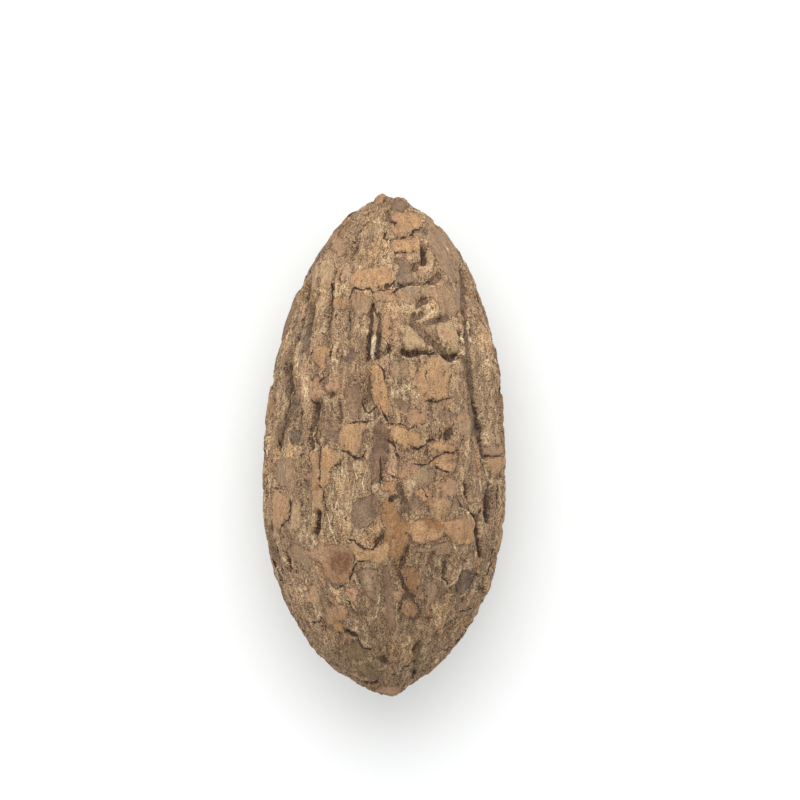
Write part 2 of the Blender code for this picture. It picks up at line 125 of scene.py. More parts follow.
# Plates of smoother skin: colour, rise, and the outline as pixels of the photograph
PLATES = {
    "crown": (TAN, 0.20, [(391, 226), (392, 214), (398, 210), (410, 210), (418, 214), (422, 222), (418, 228),
                          (411, 231), (404, 233), (397, 233), (391, 230)]),
    "brow": (TAN, 0.20, [(391, 239), (400, 236), (409, 239), (416, 233), (421, 236), (420, 246), (414, 251),
                         (404, 250), (395, 250), (390, 245)]),
    "pit rim": (STRAW, 0.22, [(428, 248), (434, 252), (435, 262), (432, 272), (424, 270), (427, 258)]),
    "under pit": (ORANGE, 0.10, [(416, 268), (424, 267), (425, 275), (418, 277)]),
    "top slate": (SLATE, 0.00, [(391, 201), (404, 199), (410, 204), (402, 209), (392, 208)]),
    "mottled slate": (SLATE, -0.05, [(396, 260), (405, 256), (413, 264), (411, 272), (418, 278), (414, 284),
                                     (402, 284), (394, 278), (399, 268)]),
    "cheek": (GREY_TAUPE, 0.12, [(398, 289), (408, 286), (424, 285), (440, 285), (452, 282), (461, 288),
                                 (462, 301), (457, 314), (443, 316), (438, 302), (431, 294), (422, 294),
                                 (412, 301), (399, 303)]),
    "saddle": (TAN, 0.30, [(351, 275), (358, 270), (370, 267), (382, 265), (391, 268), (392, 276), (388, 283),
                           (383, 286), (374, 289), (366, 288), (356, 287), (350, 284)]),
    "under saddle": (TAN_BROWN, 0.12, [(372, 291), (384, 287), (396, 291), (402, 296), (396, 301), (385, 300),
                                       (376, 299)]),
    "left pink": (PINK_BROWN, 0.10, [(330, 235), (338, 232), (344, 240), (347, 250), (340, 254), (332, 250)]),
    "left straw": (STRAW, 0.15, [(322, 262), (330, 256), (335, 268), (333, 280), (330, 290), (322, 285),
                                 (319, 272)]),
    "straw strip": (STRAW, 0.22, [(311, 276), (317, 262), (320, 268), (318, 288), (312, 292), (310, 284)]),
    "small tan": (TAN_BROWN, 0.10, [(331, 298), (342, 295), (346, 302), (342, 308), (333, 308)]),
    "fold pink": (ROSE, 0.12, [(343, 265), (351, 261), (353, 268), (348, 275), (341, 282)]),
    "triangle": (STRAW, 0.18, [(401, 322), (410, 324), (418, 332), (427, 343), (425, 347), (408, 348),
                               (402, 342), (399, 330)]),
    "shoulder": (STRAW, 0.18, [(435, 326), (441, 322), (449, 322), (456, 327), (459, 334), (459, 345),
                               (457, 351), (449, 346), (443, 341), (437, 335)]),
    "shoulder pink": (PINK, 0.20, [(441, 330), (448, 328), (452, 335), (450, 342), (443, 338)]),
    "bright fibre": (PALE, 0.30, [(371.5, 334), (376.5, 334), (376, 346), (374.5, 358), (370.5, 358),
                                  (370.5, 346)]),
    "upper fibre": (CREAM, 0.10, [(373, 306), (376, 308), (377, 315), (375, 317), (373, 312)]),
    "beside fibre": (TAN, 0.12, [(381, 318), (386, 311), (391, 318), (392, 328), (388, 338), (382, 334)]),
    "round": (TAN, 0.28, [(428, 357), (440, 355), (449, 362), (451, 374), (450, 390), (446, 397), (437, 399),
                          (428, 396), (420, 392), (414, 386), (413, 376), (418, 366)]),
    "round left": (TAN_BROWN, 0.26, [(414, 374), (421, 371), (424, 380), (423, 391), (416, 387)]),
    "under round": (TAN_BROWN, 0.10, [(428, 402), (440, 403), (448, 401), (442, 409), (431, 408)]),
    "left of round": (GREY_TAUPE, 0.06, [(390, 358), (408, 358), (411, 368), (405, 378), (392, 376)]),
    "long": (TAN, 0.25, [(369, 366), (380, 364), (386, 372), (385, 384), (388, 396), (391, 408), (388, 417),
                         (381, 414), (375, 405), (371, 398), (370, 385)]),
    "small purple": (PURPLE, 0.00, [(396, 398), (404, 400), (410, 406), (404, 411), (397, 407)]),
    "small red": (PINK_BROWN, 0.08, [(402, 412), (416, 410), (426, 414), (424, 421), (410, 423)]),
    "small straw": (STRAW, 0.10, [(431, 411), (440, 409), (437, 419), (431, 419)]),
    "small slate": (SLATE, 0.00, [(440, 412), (447, 408), (455, 412), (452, 420), (441, 420)]),
    "right olive": (OLIVE_GREY, 0.08, [(456, 414), (466, 406), (472, 418), (474, 434), (466, 441), (458, 430)]),
    "left tan": (TAN, 0.18, [(312, 352), (318, 345), (326, 343), (330, 350), (328, 360), (322, 368),
                             (316, 364), (311, 358)]),
    "left rose": (PINK, 0.16, [(309, 382), (316, 374), (321, 380), (320, 392), (318, 402), (311, 402),
                               (308, 394)]),
    "rose arm": (PINK, 0.10, [(322, 386), (330, 380), (341, 379), (340, 388), (330, 393)]),
    "blue slate": (SLATE_BLUE, 0.00, [(305, 325), (309, 320), (311, 332), (309, 342), (303, 349), (301, 342)]),
    "blue spot": (SLATE_DARK, 0.00, [(347, 353), (352, 347), (355, 355), (350, 364), (346, 361)]),
    "mid slate": (PURPLE, 0.05, [(344, 386), (358, 384), (360, 396), (358, 416), (352, 418), (345, 404)]),
    "lower slate": (SLATE, 0.05, [(321, 420), (328, 421), (331, 430), (340, 432), (339, 440), (326, 441),
                                  (321, 433)]),
    "far slate": (SLATE_BLUE, 0.00, [(289, 433), (295, 429), (298, 436), (296, 443), (290, 442)]),
    "chest": (TAN, 0.22, [(341, 426), (352, 422), (366, 422), (370, 430), (363, 434), (361, 456), (355, 455),
                          (347, 450), (340, 446), (338, 436)]),
    "purple strip": (PURPLE_DARK, 0.04, [(372, 430), (378, 419), (386, 424), (388, 440), (386, 455), (383, 470),
                                    (380, 482), (373, 484), (370, 465), (372, 450)]),
    "yellow": (TAN_YELLOW, 0.28, [(389, 429), (396, 426), (410, 429), (418, 433), (420, 438), (428, 443),
                                  (420, 446), (413, 449), (404, 447), (395, 441), (388, 435)]),
    "belly strip": (TAN, 0.18, [(429, 443), (440, 441), (455, 444), (461, 446), (453, 450), (440, 451),
                                (430, 450)]),
    "flap": (PINK_BROWN, 0.28, [(485, 446), (494, 443), (503, 446), (505, 455), (486, 456), (483, 452)]),
    "flap low": (TAN, 0.28, [(485, 457), (505, 456), (506, 463), (500, 472), (493, 477), (489, 474),
                             (486, 466)]),
    "waist pink": (PINK_BROWN, 0.14, [(402, 462), (414, 459), (427, 461), (420, 467), (410, 474), (401, 481),
                                      (396, 474)]),
    "waist orange": (TAN_BROWN, 0.16, [(412, 460), (424, 461), (436, 455), (448, 452), (458, 452), (460, 460),
                                       (448, 462), (434, 468), (422, 466)]),
    "waist olive": (OLIVE_GREY, 0.12, [(411, 474), (420, 466), (432, 468), (437, 476), (430, 484), (418, 484)]),
    "waist cream": (CREAM, 0.14, [(405, 480), (413, 478), (417, 486), (412, 496), (407, 497), (406, 488)]),
    "waist tan": (TAN, 0.16, [(415, 491), (424, 488), (432, 495), (430, 502), (423, 503), (419, 497)]),
    "waist rose": (PINK, 0.14, [(438, 484), (447, 476), (458, 482), (456, 492), (450, 498), (443, 494)]),
    "belly right": (TAN, 0.14, [(432, 462), (440, 460), (452, 461), (460, 466), (456, 473), (446, 471),
                                (438, 468)]),
    "brown": (TAN_BROWN, 0.22, [(426, 502), (438, 496), (449, 499), (451, 516), (440, 520), (431, 518),
                                (427, 509)]),
    "band": (TAN, 0.26, [(408, 520), (422, 522), (440, 520), (452, 518), (462, 517), (470, 516), (476, 522),
                         (474, 532), (475, 540), (468, 545), (460, 546), (454, 540), (446, 536), (436, 541),
                         (424, 544), (412, 542), (407, 532)]),
    "band red": (CLAY, 0.27, [(420, 520), (428, 516), (440, 521), (446, 527), (438, 532), (427, 528)]),
    "column": (CLAY, 0.24, [(384, 500), (396, 503), (400, 512), (402, 520), (409, 522), (409, 541),
                                 (405, 556), (396, 561), (388, 556), (384, 545), (385, 530), (381, 515)]),
    "column top": (ORANGE, 0.12, [(383, 484), (393, 480), (397, 487), (392, 492), (384, 491)]),
    "green slate": (SLATE, 0.00, [(409, 498), (418, 497), (420, 505), (416, 511), (409, 509)]),
    "right slate": (SLATE, 0.03, [(452, 500), (462, 497), (465, 505), (460, 511), (453, 510)]),
    "under band": (GREY_TAUPE, 0.08, [(410, 547), (430, 546), (452, 542), (456, 549), (452, 556), (440, 555),
                                      (425, 553), (412, 553)]),
    "left long": (TAN_BROWN, 0.28, [(310, 450), (320, 446), (320, 487), (314, 488), (310, 484), (309, 466)]),
    "right long": (TAN, 0.34, [(321, 446), (330, 445), (337, 452), (339, 462), (334, 468), (331, 472),
                               (330, 484), (324, 488), (321, 487)]),
    "below long": (TAN_BROWN, 0.18, [(311, 490), (324, 489), (325, 500), (324, 511), (317, 514), (312, 510)]),
    "far left": (TAN, 0.24, [(273, 487), (280, 490), (284, 494), (290, 499), (289, 512), (286, 521),
                             (281, 529), (275, 529), (272, 520), (271, 500)]),
    "far straw": (STRAW, 0.16, [(292, 500), (298, 498), (300, 515), (299, 529), (291, 531), (290, 515)]),
    "far rose": (PINK_BROWN, 0.10, [(286, 470), (294, 466), (296, 478), (293, 492), (288, 496), (285, 484)]),
    "belly grey": (SLATE, 0.10, [(351, 511), (358, 500), (368, 497), (374, 500), (374, 519), (366, 528),
                                      (358, 529), (351, 522)]),
    "belly purple": (PURPLE_DARK, 0.12, [(370, 497), (376, 493), (381, 497), (380, 514), (374, 519), (369, 514)]),
    "cream spot": (CREAM, 0.08, [(351, 462), (359, 456), (366, 463), (363, 473), (355, 474)]),
    "cream spot low": (CREAM, 0.08, [(372, 486), (380, 485), (379, 494), (371, 492)]),
    "red": (RED_BROWN, 0.28, [(308, 552), (320, 545), (336, 546), (352, 548), (354, 560), (352, 572),
                              (348, 582), (340, 586), (333, 582), (326, 574), (320, 563), (311, 559)]),
    "red arm": (PINK_BROWN, 0.28, [(308, 552), (320, 545), (332, 546), (334, 553), (327, 560), (325, 569),
                                   (319, 563), (311, 559)]),
    "red core": (RED_DARK, 0.28, [(331, 556), (338, 551), (348, 551), (353, 557), (351, 567), (345, 575),
                                  (337, 576), (331, 569)]),
    "smile": (TAN_YELLOW, 0.22, [(352, 541), (360, 547), (370, 551), (378, 549), (384, 542), (390, 548),
                                 (389, 558), (382, 563), (368, 561), (356, 560), (353, 550)]),
    "orange": (CLAY, 0.20, [(405, 569), (414, 567), (421, 574), (420, 586), (414, 592), (408, 590),
                              (407, 580)]),
    "beside orange": (PINK, 0.14, [(393, 590), (401, 589), (405, 600), (398, 603), (392, 598)]),
    "low rose": (RED_BROWN, 0.20, [(400, 606), (408, 603), (415, 605), (419, 612), (414, 619), (406, 618),
                              (401, 613)]),
    "low slate": (SLATE_DARK, 0.00, [(456, 587), (462, 577), (467, 570), (474, 572), (476, 582), (470, 590),
                                     (460, 592)]),
    "low slate left": (PURPLE, 0.06, [(438, 589), (448, 586), (449, 595), (442, 600)]),
    "low grey": (GREY_TAUPE, 0.08, [(424, 585), (434, 581), (438, 590), (434, 602), (426, 600)]),
    "low strip": (PURPLE, 0.04, [(383, 570), (389, 566), (391, 580), (394, 600), (396, 620), (394, 632),
                                 (388, 632), (384, 615), (382, 590)]),
    "low brown": (TAN_BROWN, 0.18, [(321, 615), (328, 608), (338, 605), (346, 611), (346, 622), (336, 622),
                                    (330, 628), (324, 624)]),
    "low orange": (ORANGE, 0.16, [(333, 624), (340, 622), (345, 626), (342, 634), (335, 633)]),
    "low olive": (OLIVE, 0.10, [(345, 655), (350, 645), (358, 643), (366, 650), (368, 658), (358, 662),
                                (349, 661)]),
    "last olive": (OLIVE, 0.10, [(354, 668), (365, 664), (376, 668), (384, 676), (376, 681), (362, 676)]),
    "low pink": (PINK, 0.12, [(346, 590), (353, 587), (358, 594), (354, 602), (347, 599)]),
    "low straw": (STRAW, 0.10, [(302, 592), (312, 588), (319, 594), (318, 603), (306, 604)]),
    "right brow": (GREY_TAUPE, 0.06, [(424, 212), (436, 222), (450, 240), (461, 262), (465, 280), (452, 280),
                                      (441, 268), (431, 246), (424, 230)]),
    "far grey": (GREY_TAUPE, 0.08, [(273, 462), (284, 458), (294, 462), (293, 476), (285, 487), (275, 484),
                                    (271, 474)]),
    "side grey": (GREY_TAUPE, 0.08, [(288, 548), (298, 543), (308, 552), (314, 566), (306, 572), (294, 562)]),
    "centre grey": (GREY_TAUPE, 0.06, [(356, 574), (366, 568), (378, 570), (381, 590), (380, 606), (370, 600),
                                       (360, 588)]),
    "upper grey": (OLIVE_GREY, 0.05, [(349, 292), (362, 291), (370, 296), (369, 312), (358, 316), (350, 306)]),
    "lip": (PINK_BROWN, 0.15, [(374, 688), (388, 686), (402, 687), (402, 693), (388, 696), (376, 693)]),
    "tip chip": (TAN, 0.25, [(374, 198), (380, 192), (386, 195), (382, 202), (375, 204)]),
}

# Wide grooves and pits: half width, depth, and the route as pixels of the photograph. The shader paints shade on
# their floors, darker the deeper they are.
GROOVES = {
    "crown pit": (0.28, 0.35, [(387, 208), (388, 212), (389, 217)]),
    "eye": (0.28, 0.80, [(425, 245), (425, 253), (426, 260)]),
    "eye corner": (0.24, 0.45, [(417, 266), (419, 261), (423, 259)]),
    "bean": (0.34, 0.45, [(432, 279), (437, 277), (441, 273)]),
    "ledge": (0.16, 0.34, [(395, 283), (405, 283), (418, 281), (430, 281)]),
    "arrow head": (0.30, 0.50, [(427, 298), (423, 299), (419, 303)]),
    "arrow hook": (0.26, 0.50, [(424, 311), (419, 316), (415, 313), (415, 321)]),
    "arrow tail": (0.10, 0.42, [(402, 322), (408, 323), (414, 324)]),
    "arrow": (0.42, 0.42, [(415, 322), (421, 329), (427, 336), (434, 342), (441, 347), (447, 353)]),
    "arrow end": (0.32, 0.80, [(448, 354), (454, 357), (460, 354)]),
    "arrow branch": (0.30, 0.36, [(424, 325), (432, 320), (440, 318), (449, 316)]),
    "slot": (0.30, 0.75, [(404, 350), (410, 352), (418, 351)]),
    "slot end": (0.20, 0.70, [(418, 351), (426, 350.5), (434, 352.5)]),
    "slit": (0.13, 0.70, [(461.5, 330), (463, 334), (462.5, 339)]),
    "right groove": (0.44, 0.36, [(465, 270), (465.5, 285), (465.5, 300), (467, 312), (470, 325), (471, 338),
                                  (471, 352), (472, 365), (473, 380), (474, 395), (476, 408)]),
    "right groove deep": (0.22, 0.62, [(465, 305), (467, 315), (469, 325), (469, 336)]),
    "right groove end": (0.38, 0.78, [(477, 405), (480, 416), (483, 426), (484, 434), (484, 441)]),
    "right run": (0.24, 0.45, [(481, 440), (483, 448), (484, 458), (486, 467), (492, 478)]),
    "central left": (0.19, 0.70, [(372, 301), (371.5, 312), (370, 321), (369, 333), (368, 346), (367.5, 357)]),
    "central right": (0.12, 0.50, [(375, 307), (378, 313), (379, 322), (377.5, 330)]),
    "central right low": (0.20, 0.70, [(379, 332), (379, 338), (377.5, 347), (377, 355)]),
    "central spur": (0.22, 0.45, [(379, 352), (384, 352), (388, 349), (389, 344)]),
    "long crack": (0.16, 0.40, [(369, 380), (368, 393), (365, 402)]),
    "black dot": (0.20, 0.50, [(328, 396), (331, 393)]),
    "round pit": (0.42, 0.55, [(449, 435), (452, 432)]),
    "black slot": (0.20, 0.80, [(317.5, 512), (316.5, 522), (315.5, 530)]),
    "black bulb": (0.28, 0.75, [(315.5, 530), (313.5, 535)]),
    "comma": (0.30, 0.80, [(283, 556), (286, 560), (287, 568)]),
    "right slit": (0.19, 0.55, [(466, 484), (467, 491), (469, 498)]),
    "side trough": (0.38, 0.50, [(491, 486), (491, 493), (490, 500)]),
    "side trough low": (0.56, 0.60, [(490, 498), (489, 506), (489, 512)]),
    "side bulb": (0.52, 0.70, [(489, 513), (490, 519)]),
    "side run": (0.28, 0.65, [(476, 519), (479, 532), (481, 545), (485, 557)]),
    "navel": (0.22, 0.60, [(396, 497), (393, 498), (391, 501)]),
    "purple run": (0.30, 0.36, [(399, 486), (402, 498), (406, 512)]),
    "blue run top": (0.14, 0.45, [(408.5, 548), (407.5, 556)]),
    "blue run": (0.26, 0.45, [(405, 559), (402, 567)]),
    "blue run low": (0.14, 0.45, [(401, 568), (400, 575), (404, 586), (408, 594)]),
    "low blob": (0.26, 0.42, [(405, 599), (411, 597), (413, 599)]),
    "low arc": (0.26, 0.34, [(434, 554), (432, 562), (434, 569), (439, 573)]),
    "low pit": (0.28, 0.45, [(447, 565), (446, 574)]),
    "low black": (0.24, 0.75, [(346, 634), (350, 637), (354, 637)]),
    "last pit": (0.32, 0.45, [(381, 660), (384, 665)]),
    "left groove": (0.34, 0.42, [(308, 284), (305, 298), (302, 315), (297, 335), (291, 352), (288, 372),
                                 (290, 388), (286, 405), (283, 420), (280, 435), (277, 450)]),
    "blue groove": (0.26, 0.35, [(312, 298), (311, 310), (309, 322), (306, 334)]),
    "left notch": (0.20, 0.35, [(285, 364), (286, 373)]),
    "brown drop": (0.18, 0.35, [(339, 403), (339, 412), (338, 420)]),
    "fibre groove": (0.30, 0.45, [(315, 403), (313, 418), (310, 428)]),
    "fibre groove low": (0.22, 0.45, [(314, 428), (313, 437), (316, 446)]),
    "left black": (0.16, 0.45, [(309, 440), (311, 448)]),
    "twin line": (0.13, 0.42, [(335, 268), (333, 278), (332, 288)]),
    "twin line right": (0.13, 0.42, [(339, 272), (338, 280), (336, 289)]),
    "upper slit": (0.16, 0.40, [(351, 251), (353, 248), (356, 245)]),
    "upper slit low": (0.12, 0.30, [(358, 260), (361, 253)]),
    "left slit": (0.15, 0.35, [(313, 300), (316, 293)]),
    "smile corner": (0.20, 0.45, [(376, 543), (383, 537)]),
    "low cut": (0.15, 0.35, [(310, 609), (314, 613)]),
    "low cut right": (0.16, 0.40, [(415, 653), (418, 648), (420, 644)]),
    "low cross": (0.18, 0.35, [(426, 620), (431, 621), (434, 620)]),
    # Its dark floor is painted shadow under the lip
    "lip undercut": (0.22, 0.50, [(354, 681), (362, 685), (371, 686), (375, 685)]),
}

# Broad furrows: half width, depth, and the route as pixels of the photograph
FURROWS = [
    (0.45, 0.25, [(374, 306), (374, 330), (374, 356)]),
    (0.30, 0.30, [(330, 292), (328, 310), (326, 330), (325, 345)]),
    (0.30, 0.30, [(297, 385), (296, 405), (298, 420), (293, 445)]),
    (0.35, 0.35, [(276, 455), (274, 480), (272, 510), (272, 535), (277, 555)]),
    (0.55, 0.30, [(346, 300), (344, 325), (342, 350), (341, 375)]),
    (0.50, 0.30, [(357, 300), (357, 330), (358, 360)]),
    (0.60, 0.30, [(346, 470), (345, 490), (346, 515)]),
    (0.50, 0.25, [(366, 470), (367, 490)]),
    (0.50, 0.30, [(308, 470), (304, 500), (303, 530)]),
    (0.50, 0.25, [(378, 575), (380, 600), (384, 630)]),
    (0.60, 0.25, [(356, 580), (366, 610), (372, 640)]),
    (0.60, 0.25, [(300, 570), (312, 600), (326, 630)]),
    (0.60, 0.25, [(448, 520), (452, 560), (446, 600)]),
    (0.45, 0.35, [(479, 300), (484, 340), (488, 380)]),
    (0.40, 0.30, [(488, 400), (492, 430)]),
    (0.40, 0.30, [(497, 480), (497, 510), (493, 540)]),
    (0.45, 0.25, [(436, 220), (448, 245), (456, 265)]),
]

# Thin dark cracks: half width, and the route as pixels of the photograph. Those along the lower edges of plates are
# partly painted shade under the raised edge.
CRACKS = [
    (0.07, [(389, 236), (395, 237.5), (399, 235), (403, 234), (407, 236.5)]),
    (0.07, [(409, 234), (413, 233), (412, 230), (417, 228)]),
    (0.12, [(391, 219), (393, 223), (395, 222)]),
    (0.06, [(384, 254), (389, 251), (395, 251), (405, 251)]),
    (0.09, [(354, 236), (357, 233), (360, 229), (362, 225)]),
    (0.09, [(366, 214), (370, 211)]),
    (0.06, [(352, 240), (358, 241), (364, 240)]),
    (0.07, [(347, 296), (350, 291), (355, 287), (359, 288.5), (363, 289.5), (366, 288), (370, 288.5), (373, 291)]),
    (0.06, [(373, 291), (380, 289), (385, 290)]),
    (0.14, [(386, 285), (389, 283), (392, 281)]),
    (0.11, [(394, 290), (399, 286.5), (403, 285), (408, 284)]),
    (0.14, [(402, 283), (406, 285), (409, 283)]),
    (0.09, [(425, 282), (428, 279), (431, 279)]),
    (0.045, [(331, 281), (331, 290), (329, 300), (328, 312), (327, 325)]),
    (0.06, [(347, 311), (349, 318), (348, 328)]),
    (0.10, [(387, 341), (389, 345), (388, 350), (385, 353)]),
    (0.09, [(381, 366), (384, 371), (384.5, 377)]),
    (0.06, [(362, 403), (364, 411), (369, 413), (374, 409)]),
    (0.09, [(352, 422), (357, 420.5), (362, 421.5), (368, 421)]),
    (0.10, [(331, 345), (330.5, 350), (330, 356)]),
    (0.07, [(311, 352), (310, 358)]),
    (0.07, [(320, 381), (322, 377)]),
    (0.10, [(297, 411), (298, 419)]),
    (0.07, [(283, 431), (286, 426), (290, 421)]),
    (0.09, [(392, 407), (393, 414)]),
    (0.07, [(381, 407), (385, 415), (388, 421)]),
    (0.10, [(410, 428), (413, 427)]),
    (0.07, [(390, 424), (397, 423), (404, 425)]),
    (0.11, [(388, 440), (392, 442)]),
    (0.10, [(393, 441), (396, 447), (395, 452), (399, 457)]),
    (0.09, [(410, 445), (414, 448), (419, 449), (424, 446), (427, 441), (433, 439)]),
    (0.10, [(431, 459), (436, 457), (441, 455), (446, 452), (452, 453), (457, 450)]),
    (0.06, [(412, 464), (422, 465), (428, 465), (432, 461)]),
    (0.06, [(436, 467), (442, 470), (448, 472), (451, 474)]),
    (0.07, [(425, 374), (424, 376), (426, 379)]),
    (0.11, [(430, 400), (436, 401.5), (442, 400), (447, 398)]),
    (0.06, [(487, 456), (494, 456.5), (501, 455)]),
    (0.06, [(423, 489), (427, 497)]),
    (0.11, [(460, 503), (462, 509)]),
    (0.12, [(470, 510), (474, 517), (477, 517), (481, 511)]),
    (0.08, [(490, 549), (492, 541), (494, 536)]),
    (0.09, [(495, 569), (496, 559)]),
    (0.08, [(350, 540), (355, 542), (360, 546), (366, 549), (372, 550), (376, 546)]),
    (0.06, [(290, 500), (290.5, 506), (289, 513), (288, 520)]),
    (0.06, [(275, 486), (279, 490), (282, 494)]),
    (0.08, [(280, 530), (284, 524), (288, 521)]),
    (0.08, [(339, 588), (345, 585), (349, 583), (350, 578), (353, 573)]),
    (0.07, [(353, 571), (357, 562), (366, 561)]),
    (0.08, [(414, 601), (418, 607), (421, 614)]),
    (0.09, [(412, 619), (414, 622)]),
    (0.06, [(400, 610), (402, 604)]),
    (0.09, [(445, 627), (448, 621)]),
    (0.08, [(452, 624), (457, 620)]),
    (0.09, [(461, 613), (468, 611), (474, 608)]),
    (0.11, [(413, 678), (415, 673)]),
    (0.06, [(403, 673), (409, 670)]),
    (0.06, [(388, 676), (395, 677)]),
    (0.11, [(465, 636), (469, 628)]),
    (0.11, [(446, 651), (453, 647), (459, 640)]),
    (0.09, [(433, 669), (438, 664)]),
    (0.17, [(273, 560), (278, 572), (284, 586), (288, 596)]),
    (0.17, [(289, 604), (293, 614), (299, 626)]),
    (0.15, [(271, 528), (274, 540), (276, 552)]),
    (0.08, [(318, 617), (322, 624), (324, 632)]),
    (0.09, [(312, 624), (318, 624)]),
    (0.06, [(345, 602), (350, 607), (354, 613)]),
    (0.06, [(357, 640), (362, 648), (370, 651)]),
    (0.12, [(325, 589), (327, 591)]),
    (0.11, [(330, 602), (333, 605)]),
    (0.09, [(339, 450), (346, 452), (351, 456), (357, 459), (361, 458), (363, 455)]),
    (0.07, [(321, 449), (320.5, 465), (320.5, 485)]),
    (0.06, [(311, 490), (318, 487), (323, 488)]),
    (0.07, [(331, 471), (332, 468), (338, 465)]),
    (0.07, [(323, 492), (325, 505), (325, 514)]),
    (0.06, [(309, 466), (309, 452), (311, 449)]),
    (0.08, [(404, 668), (409, 667)]),
    (0.07, [(380, 460), (381, 470), (380, 482)]),
    (0.07, [(382, 478), (390, 475), (396, 478)]),
    (0.06, [(478, 570), (473, 582), (468, 592)]),
    (0.08, [(478, 575), (480, 585), (484, 594)]),
    (0.07, [(444, 580), (450, 583), (452, 590)]),
    (0.07, [(386, 229), (384, 236), (388, 241)]),
    # Painted shadow under the lip at the base
    (0.16, [(354, 680), (362, 684), (371, 685.5), (376, 684)]),
]

# Pale fibres and rims: half width, and the route as pixels of the photograph
FIBRES = [
    (0.08, [(376, 306), (378, 313), (378, 320)]),
    (0.14, [(312, 427), (311, 434), (314, 444), (316, 452)]),
    (0.08, [(320, 411), (317, 422), (311, 429)]),
    (0.11, [(463.5, 327), (465, 335), (465, 345), (467, 355)]),
    (0.11, [(457, 361), (461, 356), (464, 352)]),
    (0.10, [(470, 314), (471, 322), (473, 340), (475, 343), (477, 341), (478, 330), (476, 318)]),
    (0.08, [(402, 355), (408, 357.5), (415, 356)]),
    (0.06, [(424, 354), (434, 353), (440, 356)]),
    (0.08, [(418, 329), (422, 336), (428, 342), (435, 347), (441, 350)]),
    (0.08, [(407, 385), (413, 390), (420, 396)]),
    (0.10, [(298, 357), (295, 364)]),
    (0.08, [(402, 287), (410, 285), (422, 284), (436, 284), (442, 281)]),
    (0.14, [(452, 620), (457, 616)]),
    (0.11, [(440, 580), (446, 584), (450, 590), (456, 582), (461, 573), (462, 566)]),
    (0.09, [(461, 509), (468, 511), (472, 518), (476, 527)]),
    (0.10, [(455, 541), (457, 549)]),
    (0.09, [(484, 455), (486, 463), (489, 471), (491, 476)]),
    (0.07, [(372, 216), (378, 226), (380, 238)]),
    (0.07, [(349, 266), (347, 276), (344, 288)]),
    (0.07, [(327, 515), (331, 530), (336, 545)]),
    (0.08, [(335, 490), (337, 500), (333, 512)]),
    (0.08, [(353, 464), (356, 480), (352, 496), (348, 508)]),
    (0.07, [(341, 462), (340, 480), (341, 498)]),
    (0.06, [(366, 468), (362, 482), (364, 492)]),
    (0.06, [(292, 380), (286, 398), (287, 410)]),
    (0.06, [(303, 352), (301, 368), (300, 382)]),
    (0.07, [(380, 590), (378, 604), (376, 620)]),
    (0.07, [(397, 606), (396, 622), (399, 632)]),
    (0.06, [(430, 215), (440, 232), (452, 250)]),
    (0.06, [(436, 262), (450, 275), (455, 290)]),
    (0.07, [(460, 598), (470, 590), (480, 590)]),
    (0.07, [(343, 600), (350, 604), (356, 612)]),
    (0.06, [(300, 560), (304, 572), (303, 584)]),
    (0.06, [(283, 465), (287, 480), (290, 498)]),
]

# Soft washes of colour over the ground between plates: colour, strength, middle and radius in pixels
WASHES = [
    (STRAW, 0.55, (325, 275), 22),
    (STRAW, 0.45, (418, 300), 22),
    (STRAW, 0.35, (440, 240), 26),
    (STRAW, 0.40, (400, 385), 20),
    (STRAW, 0.35, (458, 395), 14),
    (STRAW, 0.35, (335, 500), 18),
    (STRAW, 0.30, (372, 478), 14),
    (STRAW, 0.40, (300, 450), 18),
    (GREY_TAUPE, 0.60, (362, 320), 22),
    (GREY_TAUPE, 0.50, (460, 240), 30),
    (PINK_BROWN, 0.35, (345, 250), 18),
    (PINK_BROWN, 0.50, (390, 320), 16),
    (PINK_BROWN, 0.50, (478, 460), 16),
    (PINK_BROWN, 0.45, (395, 255), 16),
    (PINK_BROWN, 0.50, (400, 468), 22),
    (PINK_BROWN, 0.30, (330, 385), 20),
    (TAN_BROWN, 0.60, (380, 300), 16),
    (TAN_BROWN, 0.70, (400, 545), 26),
    (TAN_BROWN, 0.50, (460, 460), 18),
    (TAN_BROWN, 0.40, (400, 425), 18),
    (PURPLE, 0.35, (345, 370), 22),
    (PURPLE, 0.50, (400, 390), 12),
    (PURPLE, 0.40, (360, 590), 22),
    (PURPLE, 0.40, (390, 600), 18),
    (OLIVE_GREY, 0.50, (370, 245), 24),
    (OLIVE_GREY, 0.40, (345, 475), 22),
    (OLIVE_GREY, 0.50, (300, 590), 26),
    (OLIVE_GREY, 0.35, (470, 400), 20),
    # The olive and dark taupe washes near the base darken the lower part: partly the skin's own colour, partly
    # painted shade
    (OLIVE, 0.45, (380, 650), 34),
    (OLIVE, 0.40, (430, 630), 30),
    (TAUPE_DARK, 0.40, (330, 640), 40),
    (TAUPE_DARK, 0.40, (460, 610), 30),
    (TAUPE_DARK, 0.30, (290, 540), 30),
]

# Painted light and shade in broad patches: lighter towards the tip and along both edges, darker low on the right.
# How much lighter or darker, middle and radius in pixels
PAINTED_SHADING_PATCHES = [
    (0.25, (395, 245), 85),
    (0.24, (465, 330), 62),
    (0.20, (306, 330), 62),
    (0.25, (280, 470), 62),
    (0.18, (498, 450), 55),
    (0.20, (308, 595), 50),
    (-0.12, (450, 565), 60),
]
